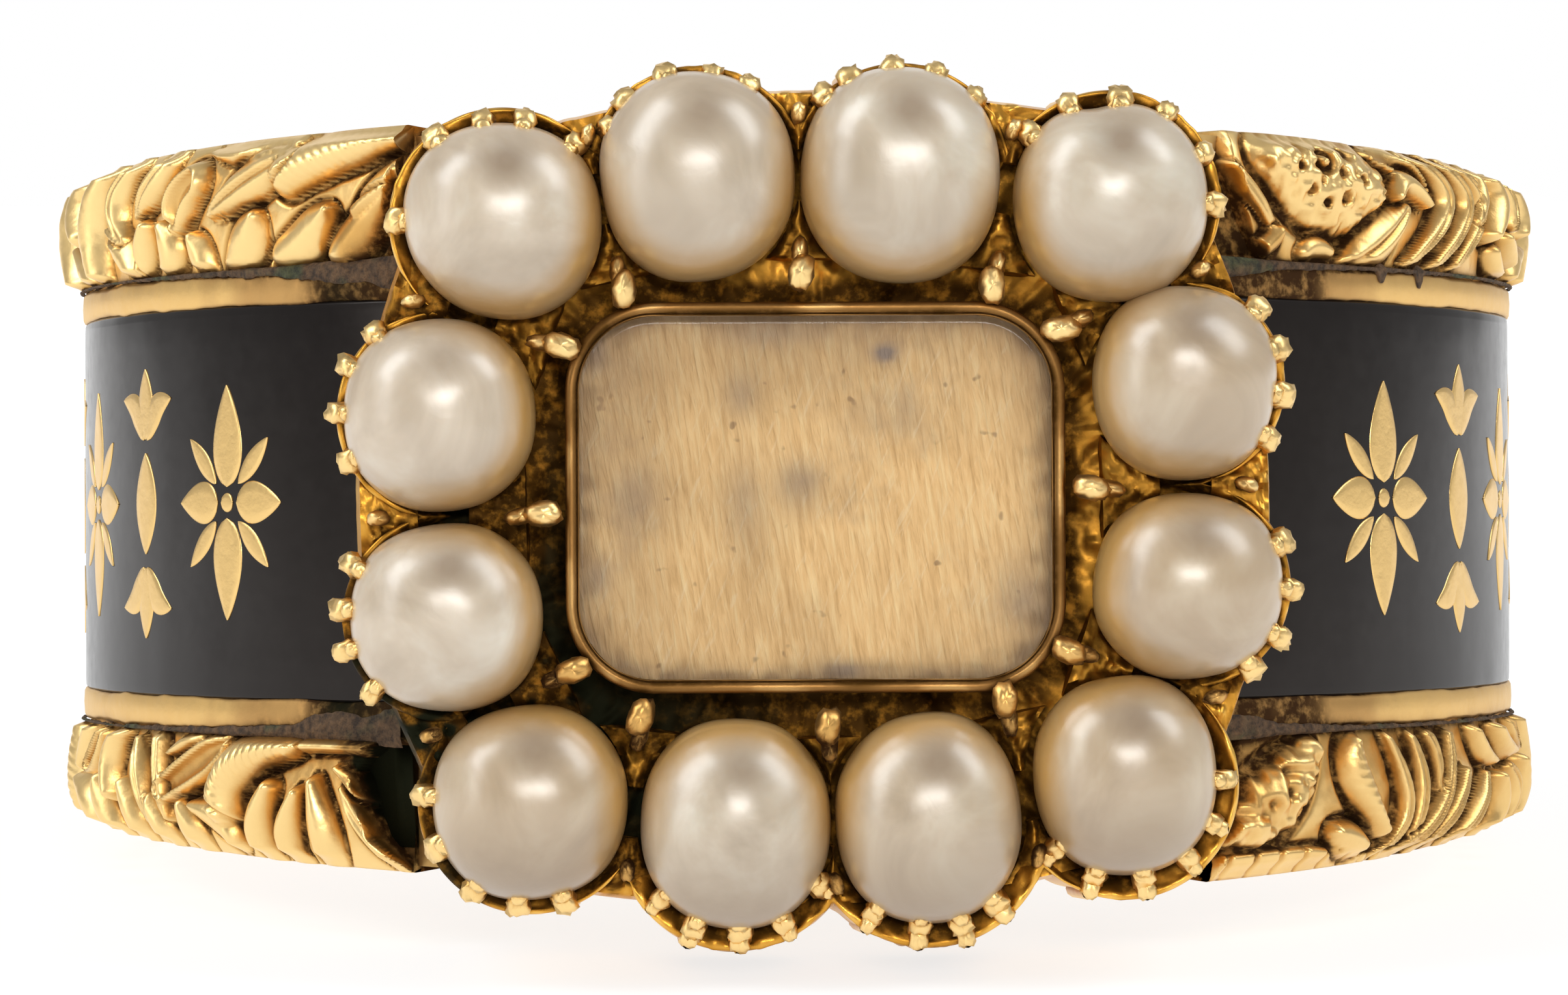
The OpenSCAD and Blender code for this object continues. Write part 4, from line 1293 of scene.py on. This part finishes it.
# Metres from the ring's axis, millimetres of lens, and degrees
CAMERA_DISTANCE = 0.070
CAMERA_LENS = 113.8
CAMERA_TURN = 1.07
CAMERA_DIP = 0.34
CAMERA_ROLL = -0.24
# How far the ring stands right of and below the middle, as shares of the picture's width
RING_RIGHT = 20 / 2408
RING_DOWN = 9 / 2408


def build_camera():
    """A long lens in the ring's middle plane, turned a little so that the head stands right of centre."""
    turn = math.radians(CAMERA_TURN)
    centre = RING @ Vector((0, 0, 0))
    dip = math.radians(CAMERA_DIP)
    level = Vector((-math.sin(turn), -math.cos(turn), 0)) * math.cos(dip)
    ring_axes = RING.to_3x3().normalized()
    outward = ring_axes @ (level - Vector((0, 0, math.sin(dip))))
    right = (-outward).cross(ring_axes @ Vector((0, 0, 1))).normalized()
    up = right.cross(-outward)
    data = bpy.data.cameras.new("camera")
    data.lens = CAMERA_LENS
    data.sensor_width = 36
    data.clip_start = 0.001
    data.shift_x = -RING_RIGHT
    data.shift_y = RING_DOWN
    camera = bpy.data.objects.new("camera", data)
    bpy.context.scene.collection.objects.link(camera)
    axes = Matrix((right, up, outward)).transposed()
    camera.matrix_world = (
        Matrix.Translation(centre + outward * CAMERA_DISTANCE)
        @ axes.to_4x4()
        @ Matrix.Rotation(math.radians(CAMERA_ROLL), 4, "Z")
    )
    bpy.context.scene.camera = camera


def add_light(name, place, target, size, power, colour=(1, 1, 1)):
    data = bpy.data.lights.new(name, "AREA")
    data.shape = "RECTANGLE"
    data.size, data.size_y = size
    data.energy = power
    data.color = colour
    light = bpy.data.objects.new(name, data)
    bpy.context.scene.collection.objects.link(light)
    light.location = place
    light.rotation_euler = (Vector(target) - Vector(place)).to_track_quat("-Z", "Y").to_euler()


def build_stage():
    scene = bpy.context.scene
    size = 2.0
    mesh = bpy.data.meshes.new("floor")
    corners = [(x * size, y * size, 0) for x, y in ((-1, -1), (1, -1), (1, 1), (-1, 1))]
    mesh.from_pydata(corners, [], [(0, 1, 2, 3)])
    floor = bpy.data.objects.new("floor", mesh)
    scene.collection.objects.link(floor)
    material, graph = new_material("glowing_floor_paper")
    away = graph.node("VectorMath", "Value", {0: graph.place()}, operation="LENGTH")
    inputs = {
        "Base Color": (0.3, 0.3, 0.3),
        "Emission Color": (1, 1, 1),
        # The floor glows: painted light, a little dimmer within a few centimetres of the ring and full
        # further out, so that it stays white to its far edge
        "Emission Strength": graph.span(away, 0.03, 0.14, 0.78, 1.0),
        "Roughness": 0.9,
        "Specular IOR Level": 0.1,
    }
    graph.shade(inputs)
    mesh.materials.append(material)
    world = bpy.data.worlds.new("studio")
    graph = Graph(world)
    behind = graph.node("SeparateXYZ", "Y", {0: graph.place("Generated")})
    front = graph.span(graph.math("MULTIPLY", behind, -1.0), 0.2, 0.85)
    sky = graph.mix(front, (0.42, 0.42, 0.42), (0.2, 0.2, 0.2))
    sky = graph.mix(graph.span(behind, 0.7, 0.92), sky, (1.0, 1.0, 1.0))
    graph.shade({"Color": sky, "Strength": 1.0}, "Background")
    scene.world = world
    scene.view_settings.view_transform = "Standard"
    aim = (0, -0.008, 0.005)
    add_light("softbox_left", (-0.19, -0.07, 0.22), aim, (0.12, 0.2), 0.33, (0.93, 0.97, 1.0))
    add_light("softbox_right", (0.19, -0.07, 0.22), aim, (0.12, 0.2), 0.29, (0.93, 0.97, 1.0))
    add_light("softbox_front", (0.02, -0.3, 0.1), aim, (0.12, 0.05), 0.3, (1.0, 0.98, 0.95))
    add_light("softbox_side", (-0.28, -0.16, 0.1), aim, (0.1, 0.2), 0.14)


build_camera()
build_stage()
build_hoop()
build_enamel()
build_border("border_upper", 1, (ARM_UPPER_LEFT, ARM_UPPER_RIGHT))
build_border("border_lower", -1, (ARM_LOWER_LEFT, ARM_LOWER_RIGHT))
build_dirt()
build_ornament()
build_setting()
build_claws()
build_grains()
build_pearls()
build_locket()
